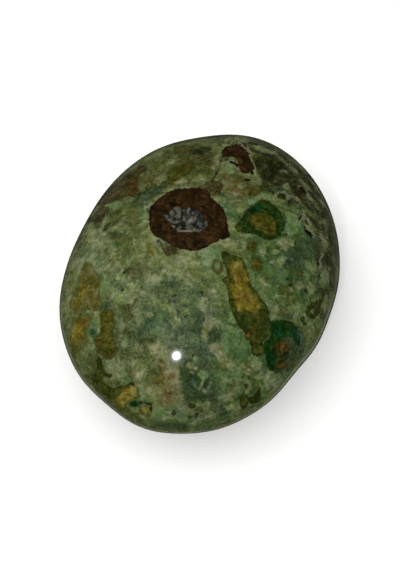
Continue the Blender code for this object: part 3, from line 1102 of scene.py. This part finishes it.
@dataclass(frozen=True)
class QuartzCrust:
    """Small broken crystals that nearly fill the nodule's pocket.

    Attributes:
        corner: Upper left pixel of the part of the photograph that they are strewn over.
        size: Width and height of that part, in pixels.
        spacing: Pixels between neighbouring crystals.
        seed: Start of the random draws.
        lowest: Height of the lowest crystal, and least depth of any below the polish, in millimetres.
        tallest: Height of the tallest crystal in millimetres.
        slope: Steepest lean of a crystal's top.
        gap: Pixels over which a crystal rises beside a crack.
        gap_height: Share of its height that a crystal keeps in a crack.
        shift: Least and most that a crystal strays in its cell, as shares of the spacing.
    """
    corner: Spot2D = (160, 202)
    size: Spot2D = (52, 34)
    spacing: float = 4.4
    seed: int = 11
    lowest: float = 0.02
    tallest: float = 0.20
    slope: float = 0.22
    gap: float = 0.45
    gap_height: float = 0.5
    shift: Spot2D = (0.05, 0.95)

    def facets(self, spots: np.ndarray) -> tuple[np.ndarray, np.ndarray]:
        """Height of the crystals above the pocket's floor, and the painted light and shade on each.

        Args:
            spots: Pixels of the photograph, one row each.

        Returns:
            Millimetres of height, and a painted light and shade from 0 to 1: each crystal's face randomly
            paler or darker, falling to painted shade in the gaps between crystals.
        """
        random = np.random.default_rng(self.seed)
        columns, rows = (int(side / self.spacing) for side in self.size)
        grid = np.stack(np.meshgrid(np.arange(columns), np.arange(rows)), axis=-1).reshape(-1, 2)
        seeds = np.array(self.corner) + (grid + random.uniform(*self.shift, grid.shape)) * self.spacing
        height = random.uniform(self.lowest, self.tallest, len(seeds))
        lean = random.uniform(-self.slope, self.slope, grid.shape)
        tone = random.uniform(0, 1, len(seeds))
        arm = spots[:, None, :] - seeds[None, :, :]
        apart = np.hypot(arm[..., 0], arm[..., 1])
        order = np.argsort(apart, axis=1)
        rows_here = np.arange(len(spots))
        first, second = order[:, 0], order[:, 1]
        tilt = (arm[rows_here, first] * lean[first]).sum(1) * PIXEL
        open_gap = np.clip((apart[rows_here, second] - apart[rows_here, first]) / self.gap, 0, 1)
        full = self.gap_height + (1 - self.gap_height) * open_gap
        # Each crystal's random paleness stands in for the light on its face, and falls to painted shade in
        # the gaps
        return np.maximum(height[first] + tilt, 0) * full, tone[first] * open_gap


def add_node(tree: bpy.types.NodeTree, kind: str, settings: dict | None = None,
             inputs: dict | None = None) -> bpy.types.Node:
    """Add one node with its settings, and with a value or a link for each input that is named.

    Args:
        tree: The node tree.
        kind: Blender's name for the node.
        settings: Attributes of the node; "stops" are the places and colours of a colour ramp.
        inputs: For each input, by name or number, a value or the output that feeds it.

    Returns:
        The new node.
    """
    node = tree.nodes.new(kind)
    for name, value in (settings or {}).items():
        if name != "stops":
            setattr(node, name, value)
            continue
        ramp = node.color_ramp.elements
        while len(ramp) < len(value):
            ramp.new(0.5)
        for element, (place, code) in zip(ramp, value):
            element.position = place
            element.color = linear(code)
    for key, value in (inputs or {}).items():
        if isinstance(value, bpy.types.NodeSocket):
            tree.links.new(value, node.inputs[key])
        else:
            node.inputs[key].default_value = value
    return node


@dataclass(frozen=True)
class Stain:
    """How one mineral looks. Lengths are in millimetres.

    Attributes:
        tones: Its colours from dark to light.
        blur: How far its edge fades to either side.
        wander: How far its edge strays from the outline.
        cover: How fully it hides what lies under it.
        edge: Colour of a darker edge inside the outline, if it has one.
        edge_width: How wide that edge is.
        halo: Colour of a pale band outside the outline, if it has one.
        halo_width: How wide that band is.
    """
    tones: tuple[str, str, str]
    blur: float
    wander: float
    cover: float = 1.0
    edge: str | None = None
    edge_width: float = 0.3
    halo: str | None = None
    halo_width: float = 0.5


# The minerals from the lowest layer to the topmost
STAINS: dict[Mineral, Stain] = {
    Mineral.POOL: Stain(("1c2a18", "2e3d24", "46563b"), 0.35, 0.9, 0.87),
    Mineral.MOSS: Stain(("343c18", "454b25", "5c6336"), 0.25, 0.9, 0.75),
    Mineral.JADE: Stain(("2a4422", "3f5931", "58724b"), 0.30, 1.0, 0.6),
    Mineral.MINT: Stain(("4b6037", "5f7449", "768a61"), 0.20, 0.8, 0.7),
    Mineral.CREAM: Stain(("5b613b", "727951", "8d946d"), 0.20, 1.0, 0.6),
    Mineral.TAN: Stain(("525331", "6b6d49", "898b65"), 0.22, 0.9, 0.7),
    Mineral.OCHRE: Stain(("3e3c12", "4f4d20", "676437"), 0.18, 0.8, 0.92, "34350f", 0.22),
    Mineral.LODEN: Stain(("131806", "262c11", "404623"), 0.35, 1.0, 0.95),
    Mineral.UMBER: Stain(("1f1b08", "372f16", "504828"), 0.10, 0.6, 0.9, "201d06", 0.3),
    Mineral.DARK: Stain(("101102", "1d1f0c", "34361a"), 0.10, 0.5, 0.9),
    Mineral.PALE: Stain(("606a44", "79825c", "98a078"), 0.12, 0.5, 0.5),
    Mineral.OLIVE: Stain(("182002", "2b3206", "454a18"), 0.07, 0.6, 0.95, "161e02", 0.25),
    Mineral.GREEN: Stain(("071a02", "142b04", "2c440f"), 0.10, 0.6, 0.95, "081c02", 0.35),
    Mineral.TEAL: Stain(("031d04", "072f0c", "174529"), 0.25, 0.8, 0.9),
    Mineral.BRONZE: Stain(("292a04", "3b3a08", "535120"), 0.17, 0.7, 0.95, "272804", 0.22),
    Mineral.GOLD: Stain(("4b420f", "665b17", "867933"), 0.25, 1.0, 0.85),
    Mineral.LIMONITE: Stain(
        ("160d02", "271803", "3c280b"), 0.06, 0.5, 1.0, "120b01", 0.25, "7d7f58", 0.28),
    Mineral.RUST: Stain(("2c1c02", "45300c", "68501f"), 0.25, 0.9, 0.7),
    Mineral.QUARTZ: Stain(("1c1d16", "31322b", "4d4e46"), 0.05, 0.25, 1.0, "1a1a10", 0.12),
    # The next stain is painted highlights on the quartz crystals
    Mineral.CRYSTAL_HIGHLIGHT: Stain(("403f37", "55544b", "727064"), 0.08, 0.25, 0.8),
    Mineral.GAP_SHADE_AND_CRACK: Stain(("0a0a04", "13140b", "212217"), 0.07, 0.25, 0.85),
}

# Ground colours at the places of a tone from its darkest to its palest twentieth
GROUND_PLACES = (0.09, 0.33, 0.50, 0.67, 0.91)
GROUND = ("39401f", "49532d", "545e37", "606b42", "727c54")
TINTS: dict[Tint, tuple[str, ...]] = {
    Tint.MINT: ("273a19", "344823", "41542a", "4e6236", "64774c"),
    Tint.LIGHT: ("424a2a", "556041", "636e49", "717c55", "848e69"),
    Tint.SAGE: ("2a3115", "3a4323", "47502f", "545e3b", "677049"),
    # The next tint is a painted reflection, the haze about the highlight
    Tint.PAINTED_HAZE: ("313d2b", "3c4a33", "47573b", "546341", "68714f"),
    Tint.WARM: ("292c0a", "363b17", "42451f", "4f502c", "636542"),
    Tint.CLAY: ("34320f", "43401a", "4f4b25", "5b5831", "6c6846"),
    Tint.DEEP: ("223017", "2b3921", "354528", "404f2f", "54623d"),
    Tint.GREY: ("1b1f0c", "272c15", "32371e", "40452b", "54573e"),
}


# One field that mottles the stone and its weight, and how many unlike fields each kind has
Term = tuple[bpy.types.NodeSocket, float]
FIELDS = 3


class TurquoiseFinish:
    """Polished turquoise in its matrix: a stone's own colours under a clear, even polish.

    Its waxy depth comes from many faint layers of colour, and its hardness from small sharp
    highlights, which are duller on the brown iron oxide and in the pits.
    """

    def __init__(self) -> None:
        """Start an empty material with its shader."""
        self.material = bpy.data.materials.new("polished_turquoise")
        self.material.use_nodes = True
        self.tree = self.material.node_tree
        self.shader = self.tree.nodes["Principled BSDF"]
        self.noise: dict[Mottling, tuple[bpy.types.NodeSocket, ...]] = {}

    def add(self, kind: str, settings: dict | None = None, inputs: dict | None = None) -> bpy.types.Node:
        """Add one node to this material's tree."""
        return add_node(self.tree, kind, settings, inputs)

    def terms(self, mix: Mix, turn: int = 0, scale: float = 1.0) -> list[Term]:
        """Fields of mottling with their weights.

        Args:
            mix: The kinds of mottling, with the number of a field and a weight for each.
            turn: Moves on to other fields, so that neighbouring layers don't run alike.
            scale: Makes all weights larger or smaller.

        Returns:
            A field and its weight for each kind.
        """
        return [
            (self.noise[kind][(turn + number) % FIELDS], weight * scale)
            for kind, (number, weight) in mix.items()]

    def sum_of(self, terms: list[Term], start: float = 0.0) -> bpy.types.NodeSocket:
        """Add up fields, each about its middle of one half and times its own weight.

        Args:
            terms: The fields and their weights.
            start: What the sum swings about.

        Returns:
            The sum.
        """
        total: bpy.types.NodeSocket | float = start - sum(weight for _, weight in terms) * 0.5
        for source, weight in terms:
            total = self.add("ShaderNodeMath", {"operation": "MULTIPLY_ADD"},
                             {0: source, 1: weight, 2: total}).outputs[0]
        return total

    def blend(self, share: bpy.types.NodeSocket | float, under: bpy.types.NodeSocket,
              over: bpy.types.NodeSocket | tuple[float, ...], kind: str = "MIX") -> bpy.types.NodeSocket:
        """Mix one colour over another by a share."""
        return self.add("ShaderNodeMix", {"data_type": "RGBA", "blend_type": kind},
                        {0: share, 6: under, 7: over}).outputs[2]

    def between(self, value: bpy.types.NodeSocket, low: float, high: float, most: float = 1.0,
                least: float = 0.0) -> bpy.types.NodeSocket:
        """Smooth step from one value of a field to another, either way round."""
        return self.add("ShaderNodeMapRange", {"interpolation_type": "SMOOTHSTEP"}, {
            "Value": value, "From Min": low, "From Max": high, "To Min": least, "To Max": most}).outputs[0]

    def attribute(self, name: str) -> bpy.types.NodeSocket:
        """One of the numbers that the mesh carries at its points."""
        return self.add("ShaderNodeAttribute", {"attribute_name": name}).outputs["Fac"]

    def lay_out_noise(self) -> None:
        """Add the mottling that all layers share, each kind with three unlike fields."""
        place = self.add("ShaderNodeTexCoord").outputs["Object"]
        millimetres = self.add("ShaderNodeMapping", inputs={
            "Vector": place, "Scale": (1 / MM,) * 3}).outputs[0]
        swirl = self.add("ShaderNodeTexNoise", inputs={
            "Vector": millimetres, "Scale": 1 / SWIRL_WIDTH, "Detail": 1.0}).outputs["Color"]
        bent = self.add("ShaderNodeVectorMath", {"operation": "MULTIPLY_ADD"}, {
            0: swirl, 1: (SWIRL_REACH,) * 3, 2: millimetres}).outputs[0]
        for kind, (width, detail, rough) in NOISE_WIDTHS.items():
            texture = self.add("ShaderNodeTexNoise", inputs={
                "Vector": bent, "Scale": 1 / width, "Detail": detail, "Roughness": rough})
            parts = self.add("ShaderNodeSeparateColor", inputs={0: texture.outputs["Color"]})
            self.noise[kind] = tuple(parts.outputs)
        crumb = self.add("ShaderNodeTexVoronoi", inputs={
            "Vector": bent, "Scale": 1 / CRUMB_WIDTH, "Randomness": 1.0})
        parts = self.add("ShaderNodeSeparateColor", inputs={0: crumb.outputs["Color"]})
        self.noise[Mottling.CRUMB] = tuple(parts.outputs)

    def ramp(self, tone: bpy.types.NodeSocket, places: tuple[float, ...],
             codes: tuple[str, ...]) -> bpy.types.NodeSocket:
        """Colours along a scale of tone."""
        return self.add("ShaderNodeValToRGB", {"stops": tuple(zip(places, codes))}, {0: tone}).outputs[0]

    def worms(self, worms: Worms) -> bpy.types.NodeSocket:
        """Thin lines, each pale on one side and dark on the other."""
        places = tuple(worms.middle + (step - 1) * worms.reach for step in range(len(WORM_GREYS)))
        return self.ramp(self.noise[worms.kind][worms.number], places, WORM_GREYS)

    def ground(self) -> bpy.types.NodeSocket:
        """Colour of the stone between its markings.

        Returns:
            The colour, tinted zone by zone.
        """
        lines = [(self.worms(worms), worms.weight) for worms in GROUND_WORMS]
        tone = self.sum_of(self.terms(GROUND_MIX) + lines, MIDDLE_TONE)
        colour = self.ramp(tone, GROUND_PLACES, GROUND)
        for turn, (tint, codes) in enumerate(TINTS.items()):
            share = self.add("ShaderNodeMath", inputs={
                0: self.attribute(tint.value), 1: self.sum_of(self.terms(TINT_MIX, turn))})
            tinted = self.ramp(tone, GROUND_PLACES, codes)
            colour = self.blend(self.between(share.outputs[0], *TINT_RISE), colour, tinted)
        return colour

    def lay(self, colour: bpy.types.NodeSocket, mineral: Mineral,
            stain: Stain) -> tuple[bpy.types.NodeSocket, bpy.types.NodeSocket]:
        """Lay one mineral over the colour so far.

        Args:
            colour: The colour under it.
            mineral: Whose field of distances says where it is.
            stain: How it looks.

        Returns:
            The colour with the mineral in it, and the mineral's mask.
        """
        turn = list(Mineral).index(mineral)
        depth = self.add("ShaderNodeMath", inputs={
            0: self.attribute(mineral.value),
            1: self.sum_of(self.terms(EDGE_MIX, turn, stain.wander))}).outputs[0]
        # The quartz's tone is the painted light and shade of its crystal faces
        if mineral is Mineral.QUARTZ:
            tone = self.attribute("facet")
        else:
            tone = self.sum_of(self.terms(STAIN_MIX, turn), MIDDLE_TONE)
        fill = self.ramp(tone, TONE_PLACES, stain.tones)
        if stain.edge:
            rim = self.between(depth, stain.edge_width, 0.0, EDGE_COVER)
            fill = self.blend(rim, fill, linear(stain.edge))
        if stain.halo:
            patchy = self.between(self.noise[Mottling.BLOTCH][0], *HALO_RISE, HALO_COVER)
            ring = self.add("ShaderNodeMath", {"operation": "MULTIPLY"}, {
                0: self.between(depth, -stain.halo_width, 0.0), 1: patchy}).outputs[0]
            colour = self.blend(ring, colour, linear(stain.halo))
        mask = self.between(depth, -stain.blur, stain.blur, stain.cover)
        return self.blend(mask, colour, fill), mask

    def shift_hue(self, colour: bpy.types.NodeSocket) -> bpy.types.NodeSocket:
        """Let the colour drift a little to warm and to cool, as natural stone does.

        Args:
            colour: The stone's colour.

        Returns:
            The drifting colour.
        """
        red = self.sum_of(self.terms(RED_DRIFT), RED_SHARE)
        blue = self.sum_of(self.terms(BLUE_DRIFT), BLUE_SHARE)
        drift = self.add("ShaderNodeCombineColor", inputs={0: red, 1: 1.0, 2: blue}).outputs[0]
        return self.blend(1.0, colour, drift, "MULTIPLY")

    def shade_pit_floors(
            self, colour: bpy.types.NodeSocket) -> tuple[bpy.types.NodeSocket, bpy.types.NodeSocket]:
        """Pale the worn rims of the pits, and darken their floors with painted shade.

        Args:
            colour: The stone's colour.

        Returns:
            The colour with the pits in it, and the mask of the painted shade in their floors.
        """
        sunk = self.attribute("sunk")
        colour = self.blend(self.between(sunk, *PIT_RIM_RISE, PIT_RIM_COVER), colour, linear(PIT_RIM))
        rugged = self.add("ShaderNodeMath", inputs={0: sunk, 1: self.sum_of(self.terms(PIT_MIX))})
        # Painted shade: the pits' floors darken below a depth
        floor_shade = self.between(rugged.outputs[0], PIT_SHADE - PIT_SHADE_BLUR, PIT_SHADE + PIT_SHADE_BLUR)
        return self.blend(floor_shade, colour, linear(PIT_SHADE_COLOUR)), floor_shade

    def drive(self, name: str, matt: bpy.types.NodeSocket, polish: float, matrix: float) -> None:
        """Feed one socket of the shader with a value of the polish and one of the matt places."""
        value = self.add("ShaderNodeMapRange", inputs={"Value": matt, "To Min": polish, "To Max": matrix})
        self.tree.links.new(value.outputs[0], self.shader.inputs[name])

    def build(self) -> bpy.types.Material:
        """Join the ground, the minerals and the polish into one material.

        Returns:
            The material.
        """
        self.lay_out_noise()
        colour = self.ground()
        masks = {}
        for mineral, stain in STAINS.items():
            colour, masks[mineral] = self.lay(colour, mineral, stain)
        colour, floor_shade = self.shade_pit_floors(self.shift_hue(colour))
        self.tree.links.new(colour, self.shader.inputs["Base Color"])
        matt = self.add("ShaderNodeMath", {"operation": "MAXIMUM"}, {
            0: masks[Mineral.LIMONITE], 1: floor_shade}).outputs[0]
        self.drive("Roughness", matt, POLISH_ROUGHNESS, MATRIX_ROUGHNESS)
        self.drive("Specular IOR Level", matt, POLISH_SHINE, MATRIX_SHINE)
        self.shader.inputs["IOR"].default_value = TURQUOISE_IOR
        return self.material


@dataclass(frozen=True)
class CardFinish:
    """Matt white card: it scatters light evenly and mirrors next to nothing, so it reads as plain."""
    colour: str = "fbfbf9"
    roughness: float = 0.9
    shine: float = 0.2
    glow_colour: str = "ffffff"
    glow: float = 0.15

    def build(self) -> bpy.types.Material:
        """Make the card's material.

        Returns:
            The material.
        """
        material = bpy.data.materials.new("matt_white_card")
        material.use_nodes = True
        shader = material.node_tree.nodes["Principled BSDF"]
        shader.inputs["Base Color"].default_value = linear(self.colour)
        shader.inputs["Roughness"].default_value = self.roughness
        shader.inputs["Specular IOR Level"].default_value = self.shine
        shader.inputs["Emission Color"].default_value = linear(self.glow_colour)
        shader.inputs["Emission Strength"].default_value = self.glow
        return material


@dataclass
class Stone:
    """The one piece: the polished pebble with its pits and the quartz in its nodule.

    Attributes:
        form: Its form.
        camera: The photograph's viewpoint, which its marks are seen from.
        crust: The quartz in its nodule.
        grid: Squares along each side of the cube that the mesh starts as.
        passes: How often the faces about the pits and the quartz are split.
        gather: How far the mesh is drawn towards the crown, in millimetres.
        fade: How far outside its outline a mineral's field still falls, in millimetres.
        rim_margin: How far outside a pit the faces are still made finer, in millimetres.
        seam: How squarely the surface still faces the camera where the photographed side ends.
        seam_blur: Millimetres over which the tints of two sides blend.
        reach: The stone's mean radius in millimetres, which turns angles into lengths.
        bake_share: Half the share of its square that each side of the cube fills, laid out flat.
    """
    form: PebbleForm
    camera: PhotoCamera
    crust: QuartzCrust = QuartzCrust()
    grid: int = 112
    passes: int = 2
    gather: float = 3.0
    fade: float = 2.0
    rim_margin: float = 0.35
    seam: float = 0.12
    seam_blur: float = 1.0
    reach: float = 18.0
    bake_share: float = 0.49

    def rays(self, cube: np.ndarray) -> np.ndarray:
        """Unit rays from the middle for places on the cube that the mesh starts as.

        Args:
            cube: Places on a cube of two units a side, one row each.

        Returns:
            Unit vectors, gathered towards the crown, where the markings are finest.
        """
        even = np.tan(np.pi / 4 * cube)
        rays = even * (self.form.half_width, self.form.half_length, self.form.crown_height)
        rays[:, 2] += self.gather
        return rays / np.linalg.norm(rays, axis=1)[:, None]

    def places(self, mesh: bmesh.types.BMesh) -> np.ndarray:
        """Points of the smooth pebble for all vertices of a mesh that is still a cube."""
        return self.form.polished(self.rays(np.array([vert.co[:] for vert in mesh.verts])))

    def quartz_depth(self, points: np.ndarray) -> np.ndarray:
        """Distance of each point inside the quartz, in millimetres, below zero outside it.

        Args:
            points: Points of the smooth pebble, in millimetres.

        Returns:
            One distance for each point.
        """
        upper = points[:, 2] > self.form.middle[2]
        depth = np.full(len(points), -self.fade)
        quartz = FACE_MARKS[Mineral.QUARTZ]["in the nodule"]
        depth[upper] = quartz.depth(self.camera.spots(points[upper])) * PIXEL
        return depth

    def refine(self, mesh: bmesh.types.BMesh) -> None:
        """Split the faces in and about the pits and the quartz, a few times over.

        Args:
            mesh: The mesh, which is still a cube.
        """
        for _ in range(self.passes):
            points = self.places(mesh)
            near = self.quartz_depth(points) > -self.rim_margin
            for hollow in self.form.hollows.values():
                near |= self.form.outside(hollow, points) < self.rim_margin
            mesh.verts.ensure_lookup_table()
            edges = [edge for edge in mesh.edges if all(near[vert.index] for vert in edge.verts)]
            bmesh.ops.subdivide_edges(mesh, edges=edges, cuts=1, use_grid_fill=True)
            mesh.verts.index_update()

    def unwrap(self, data: bpy.types.Mesh, cube: np.ndarray) -> None:
        """Lay the six sides of the cube side by side, three across and two up.

        Args:
            data: The mesh.
            cube: Place of each vertex on the cube.
        """
        corners = np.zeros(len(data.loops), np.int32)
        data.loops.foreach_get("vertex_index", corners)
        starts = np.zeros(len(data.polygons), np.int32)
        data.polygons.foreach_get("loop_start", starts)
        counts = np.diff(np.append(starts, len(corners)))
        centre = np.add.reduceat(cube[corners], starts) / counts[:, None]
        axis = np.abs(centre).argmax(1)
        side = 2 * axis + (centre[np.arange(len(axis)), axis] > 0)
        across = np.array([1, 0, 0])[axis]
        up = np.array([2, 2, 1])[axis]
        loop_side = np.repeat(side, counts)
        rows = np.arange(len(corners))
        here = cube[corners]
        u = here[rows, np.repeat(across, counts)]
        v = here[rows, np.repeat(up, counts)]
        columns, lines = 3, 2
        layout = np.stack([(loop_side % columns + 0.5 + self.bake_share * u) / columns,
                           (loop_side // columns + 0.5 + self.bake_share * v) / lines], axis=1)
        data.uv_layers.new(name="OFBake").data.foreach_set("uv", layout.ravel())

    def sides(self, points: np.ndarray,
              normals: np.ndarray) -> Iterator[tuple[tuple[str, ...], np.ndarray, np.ndarray]]:
        """Lay the photographed side and each hidden one out flat.

        Args:
            points: The stone's points, in millimetres.
            normals: Their unit normals.

        Yields:
            Names of the marks to leave out, each point's pixel, and how far inside the side it is.
        """
        room = self.reach * (self.camera.facing(points, normals) - self.seam)
        yield (), self.camera.spots(points), room
        arms = points - np.array(self.form.middle)
        arms /= np.linalg.norm(arms, axis=1)[:, None]
        towards = np.stack([direction(side.azimuth, side.elevation) for side in WINDOWS])
        angles = np.arccos(np.clip(np.stack([arms @ way for way in towards]), -1, 1))
        nearest = np.sort(angles, axis=0)
        for side, angle in zip(WINDOWS, angles):
            across, up, _ = view_axes(side.azimuth, side.elevation)
            flat = np.stack([arms @ across, arms @ up], axis=1)
            flat *= (self.reach * angle / np.maximum(np.linalg.norm(flat, axis=1), TINY))[:, None] / PIXEL
            if side.mirrored:
                flat[:, 0] *= -1
            cos, sin = math.cos(math.radians(side.turn)), math.sin(math.radians(side.turn))
            spots = np.array(side.like) + flat @ np.array([[cos, sin], [-sin, cos]])
            other = np.where(angle == nearest[0], nearest[1], nearest[0])
            yield SEEN_ONCE, spots, np.minimum(-room, self.reach * (other - angle) / 2)

    def fields(self, points: np.ndarray, normals: np.ndarray) -> dict[str, np.ndarray]:
        """Distance fields of the minerals and shares of the tints.

        Args:
            points: The stone's points, in millimetres.
            normals: Their unit normals.

        Returns:
            For each field, by name, one number for each point.
        """
        result = {mineral.value: np.full(len(points), -self.fade) for mineral in Mineral}
        left = {tint: np.ones(len(points)) for tint in Tint}
        margin = self.fade / PIXEL
        for skipped, spots, room in self.sides(points, normals):
            own = np.nonzero(room > -self.fade)[0]
            for mineral, marks in FACE_MARKS.items():
                depth = result[mineral.value]
                for name, mark in marks.items():
                    if name in skipped:
                        continue
                    for part in mark.parts() if isinstance(mark, Flecks) else (mark,):
                        low, high = part.extent()
                        near = own[((spots[own] > low - margin) & (spots[own] < high + margin)).all(1)]
                        inside = np.minimum(part.depth(spots[near]) * PIXEL, room[near])
                        depth[near] = np.maximum(depth[near], inside)
            weight = np.clip(0.5 + room[own] / self.seam_blur, 0, 1)
            for tint, zones in FACE_ZONES.items():
                for zone in zones.values():
                    left[tint][own] *= 1 - zone.amount(spots[own]) * weight
        return result | {tint.value: 1 - share for tint, share in left.items()}

    def sink_hollows(self, rays: np.ndarray,
                     points: np.ndarray) -> tuple[np.ndarray, dict[str, np.ndarray]]:
        """Sink the pits and the pocket with its quartz into the smooth pebble.

        Args:
            rays: Unit vectors from the middle, one row each.
            points: Points of the smooth pebble along them, in millimetres.

        Returns:
            Points of the finished stone, and two fields: the painted light and shade of the quartz facets
            and the pits' depths.
        """
        sink = self.form.sink(points)
        inside = self.quartz_depth(points)
        quartz = inside > 0
        facet = np.zeros(len(points))
        height, facet[quartz] = self.crust.facets(self.camera.spots(points[quartz]))
        sunk = np.where(inside > -self.rim_margin, 0, sink)
        sink[quartz] = np.maximum(sink[quartz] - height, self.crust.lowest)
        return points - rays * sink[:, None], {"facet": facet, "sunk": sunk}

    def build(self) -> bpy.types.Object:
        """Model the stone and dress it.

        Returns:
            The one piece.
        """
        mesh = bmesh.new()
        bmesh.ops.create_cube(mesh, size=2.0)
        bmesh.ops.subdivide_edges(mesh, edges=mesh.edges[:], cuts=self.grid - 1, use_grid_fill=True)
        self.refine(mesh)
        cube = np.array([vert.co[:] for vert in mesh.verts])
        rays = self.rays(cube)
        points = self.form.polished(rays)
        finished, relief = self.sink_hollows(rays, points)
        for vert, place in zip(mesh.verts, finished * MM):
            vert.co = place
        bmesh.ops.recalc_face_normals(mesh, faces=mesh.faces[:])
        data = bpy.data.meshes.new("turquoise_stone")
        mesh.to_mesh(data)
        mesh.free()
        data.shade_smooth()
        normals = np.zeros(len(points) * 3, np.float32)
        data.vertex_normals.foreach_get("vector", normals)
        fields = self.fields(points, normals.reshape(-1, 3).astype(float))
        for name, values in (fields | relief).items():
            attribute = data.attributes.new(name, "FLOAT", "POINT")
            attribute.data.foreach_set("value", values.astype(np.float32))
        self.unwrap(data, cube)
        data.materials.append(TurquoiseFinish().build())
        stone = bpy.data.objects.new("turquoise_stone", data)
        bpy.context.scene.collection.objects.link(stone)
        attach(stone, "root")
        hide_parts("stone")
        return stone


@dataclass
class Studio:
    """Pale floor, soft light all round, and one small lamp for the highlight on the crown.

    Attributes:
        camera: The photograph's viewpoint.
        form: The stone's form, which says where the crown mirrors the lamp.
        floor_size: Side of the floor in metres.
        highlight_azimuth: Degrees from +X to the highlight on the stone.
        highlight_elevation: Degrees above level to the highlight.
        lamp_distance: Millimetres from the highlight to the lamp.
        lamp_radius: The lamp's radius in millimetres.
        lamp_energy: The lamp's power in watts.
        softbox_place: Where the broad light hangs, in metres.
        softbox_size: Its side in metres.
        softbox_energy: Its power in watts.
        light_above: Strength of the light from the sky.
        light_below: Strength of the light from under the stone.
        light_rise: Rise of a direction, as a sine, from the weaker light to the stronger.
        edge_blend: Sine to either side over which the lower edge light turns into the upper.
    """
    camera: PhotoCamera
    form: PebbleForm
    floor_size: float = 3.0
    highlight_azimuth: float = -81.4
    highlight_elevation: float = 29.4
    lamp_distance: float = 500.0
    lamp_radius: float = 20.0
    lamp_energy: float = 0.3
    softbox_place: tuple[float, float, float] = (-0.45, -0.35, 0.95)
    softbox_size: float = 1.3
    softbox_energy: float = 5.0
    light_above: float = 0.82
    light_below: float = 0.32
    light_rise: tuple[float, float] = (-0.6, 0.3)
    edge_blend: float = 0.2

    def floor(self) -> None:
        """Lay the floor under the stone, kept out of the light that the stone gets from below."""
        mesh = bmesh.new()
        bmesh.ops.create_grid(mesh, x_segments=1, y_segments=1, size=self.floor_size / 2)
        data = bpy.data.meshes.new("floor")
        mesh.to_mesh(data)
        mesh.free()
        data.materials.append(CardFinish().build())
        floor = bpy.data.objects.new("floor", data)
        floor.visible_glossy = False
        floor.visible_diffuse = False
        bpy.context.scene.collection.objects.link(floor)

    def lamp(self) -> None:
        """Hang the small round lamp where the crown mirrors it into the camera."""
        spot, normal = self.form.place_and_normal(self.highlight_azimuth, self.highlight_elevation)
        sight = self.camera.place() - spot
        sight /= np.linalg.norm(sight)
        ray = 2 * (sight @ normal) * normal - sight
        data = bpy.data.lights.new("highlight_lamp", "AREA")
        data.shape = "DISK"
        data.size = 2 * self.lamp_radius * MM
        data.energy = self.lamp_energy
        lamp = bpy.data.objects.new("highlight_lamp", data)
        lamp.location = Vector(spot + ray * self.lamp_distance) * MM
        lamp.rotation_euler = Vector(ray).to_track_quat("Z", "Y").to_euler()
        bpy.context.scene.collection.objects.link(lamp)

    def softbox(self) -> None:
        """Hang a broad soft light high on the left, which gives the floor its faint shadow."""
        data = bpy.data.lights.new("softbox", "AREA")
        data.size = self.softbox_size
        data.energy = self.softbox_energy
        box = bpy.data.objects.new("softbox", data)
        box.location = self.softbox_place
        box.rotation_euler = Vector(box.location).to_track_quat("Z", "Y").to_euler()
        box.visible_glossy = False
        bpy.context.scene.collection.objects.link(box)

    def edge_light(self, tree: bpy.types.NodeTree, way: bpy.types.NodeSocket) -> bpy.types.NodeSocket:
        """Dim light that only the polish mirrors, as a band along the stone's edge.

        Args:
            tree: The world's node tree.
            way: The direction that is looked in.

        Returns:
            The light's colour.
        """
        _, up, towards = view_axes(*self.camera.view.value)
        along, rise = (
            add_node(tree, "ShaderNodeVectorMath", {"operation": "DOT_PRODUCT"},
                     {0: way, 1: tuple(axis)}).outputs["Value"] for axis in (-towards, up))
        low, high = (
            add_node(tree, "ShaderNodeValToRGB", {"stops": stops}, {0: along}).outputs[0]
            for stops in (EDGE_LIGHT_BELOW, EDGE_LIGHT_ABOVE))
        side = add_node(tree, "ShaderNodeMapRange", inputs={
            "Value": rise, "From Min": -self.edge_blend, "From Max": self.edge_blend})
        return add_node(tree, "ShaderNodeMix", {"data_type": "RGBA"}, {
            0: side.outputs[0], 6: low, 7: high}).outputs[2]

    def surroundings(self) -> None:
        """Even pale light all round, which the polish mirrors only dimly, as a band along its edge."""
        world = bpy.data.worlds.new("studio")
        world.use_nodes = True
        world.cycles.sampling_method = "NONE"
        tree = world.node_tree
        pale = tree.nodes["Background"]
        pale.inputs["Color"].default_value = (1, 1, 1, 1)
        way = add_node(tree, "ShaderNodeTexCoord").outputs["Generated"]
        level = add_node(tree, "ShaderNodeVectorMath", {"operation": "DOT_PRODUCT"}, {
            0: way, 1: (0, 0, 1)}).outputs["Value"]
        low, high = self.light_rise
        glow = add_node(tree, "ShaderNodeMapRange", inputs={
            "Value": level, "From Min": low, "From Max": high,
            "To Min": self.light_below, "To Max": self.light_above})
        tree.links.new(glow.outputs[0], pale.inputs["Strength"])
        dim = add_node(tree, "ShaderNodeBackground", inputs={
            "Color": self.edge_light(tree, way), "Strength": 1.0})
        path = add_node(tree, "ShaderNodeLightPath")
        both = add_node(tree, "ShaderNodeMixShader", inputs={
            0: path.outputs["Is Glossy Ray"], 1: pale.outputs[0], 2: dim.outputs[0]})
        tree.links.new(both.outputs[0], tree.nodes["World Output"].inputs["Surface"])
        bpy.context.scene.world = world

    def build(self) -> None:
        """Set up the floor, the lights and the surroundings."""
        self.floor()
        self.lamp()
        self.softbox()
        self.surroundings()
        bpy.context.scene.view_settings.view_transform = "Standard"


def main() -> None:
    """Build the camera, the stone and the studio, and report each piece."""
    logging.basicConfig(level=logging.INFO, format="%(name)s: %(message)s")
    camera = PhotoCamera()
    camera.build()
    form = PebbleForm()
    stone = Stone(form, camera).build()
    triangles = sum(len(face.vertices) - 2 for face in stone.data.polygons)
    LOG.info("%s: %d triangles", stone.name, triangles)
    Studio(camera, form).build()
    LOG.info("studio: floor, lamp, softbox and surroundings")


if __name__ == "__main__":
    main()
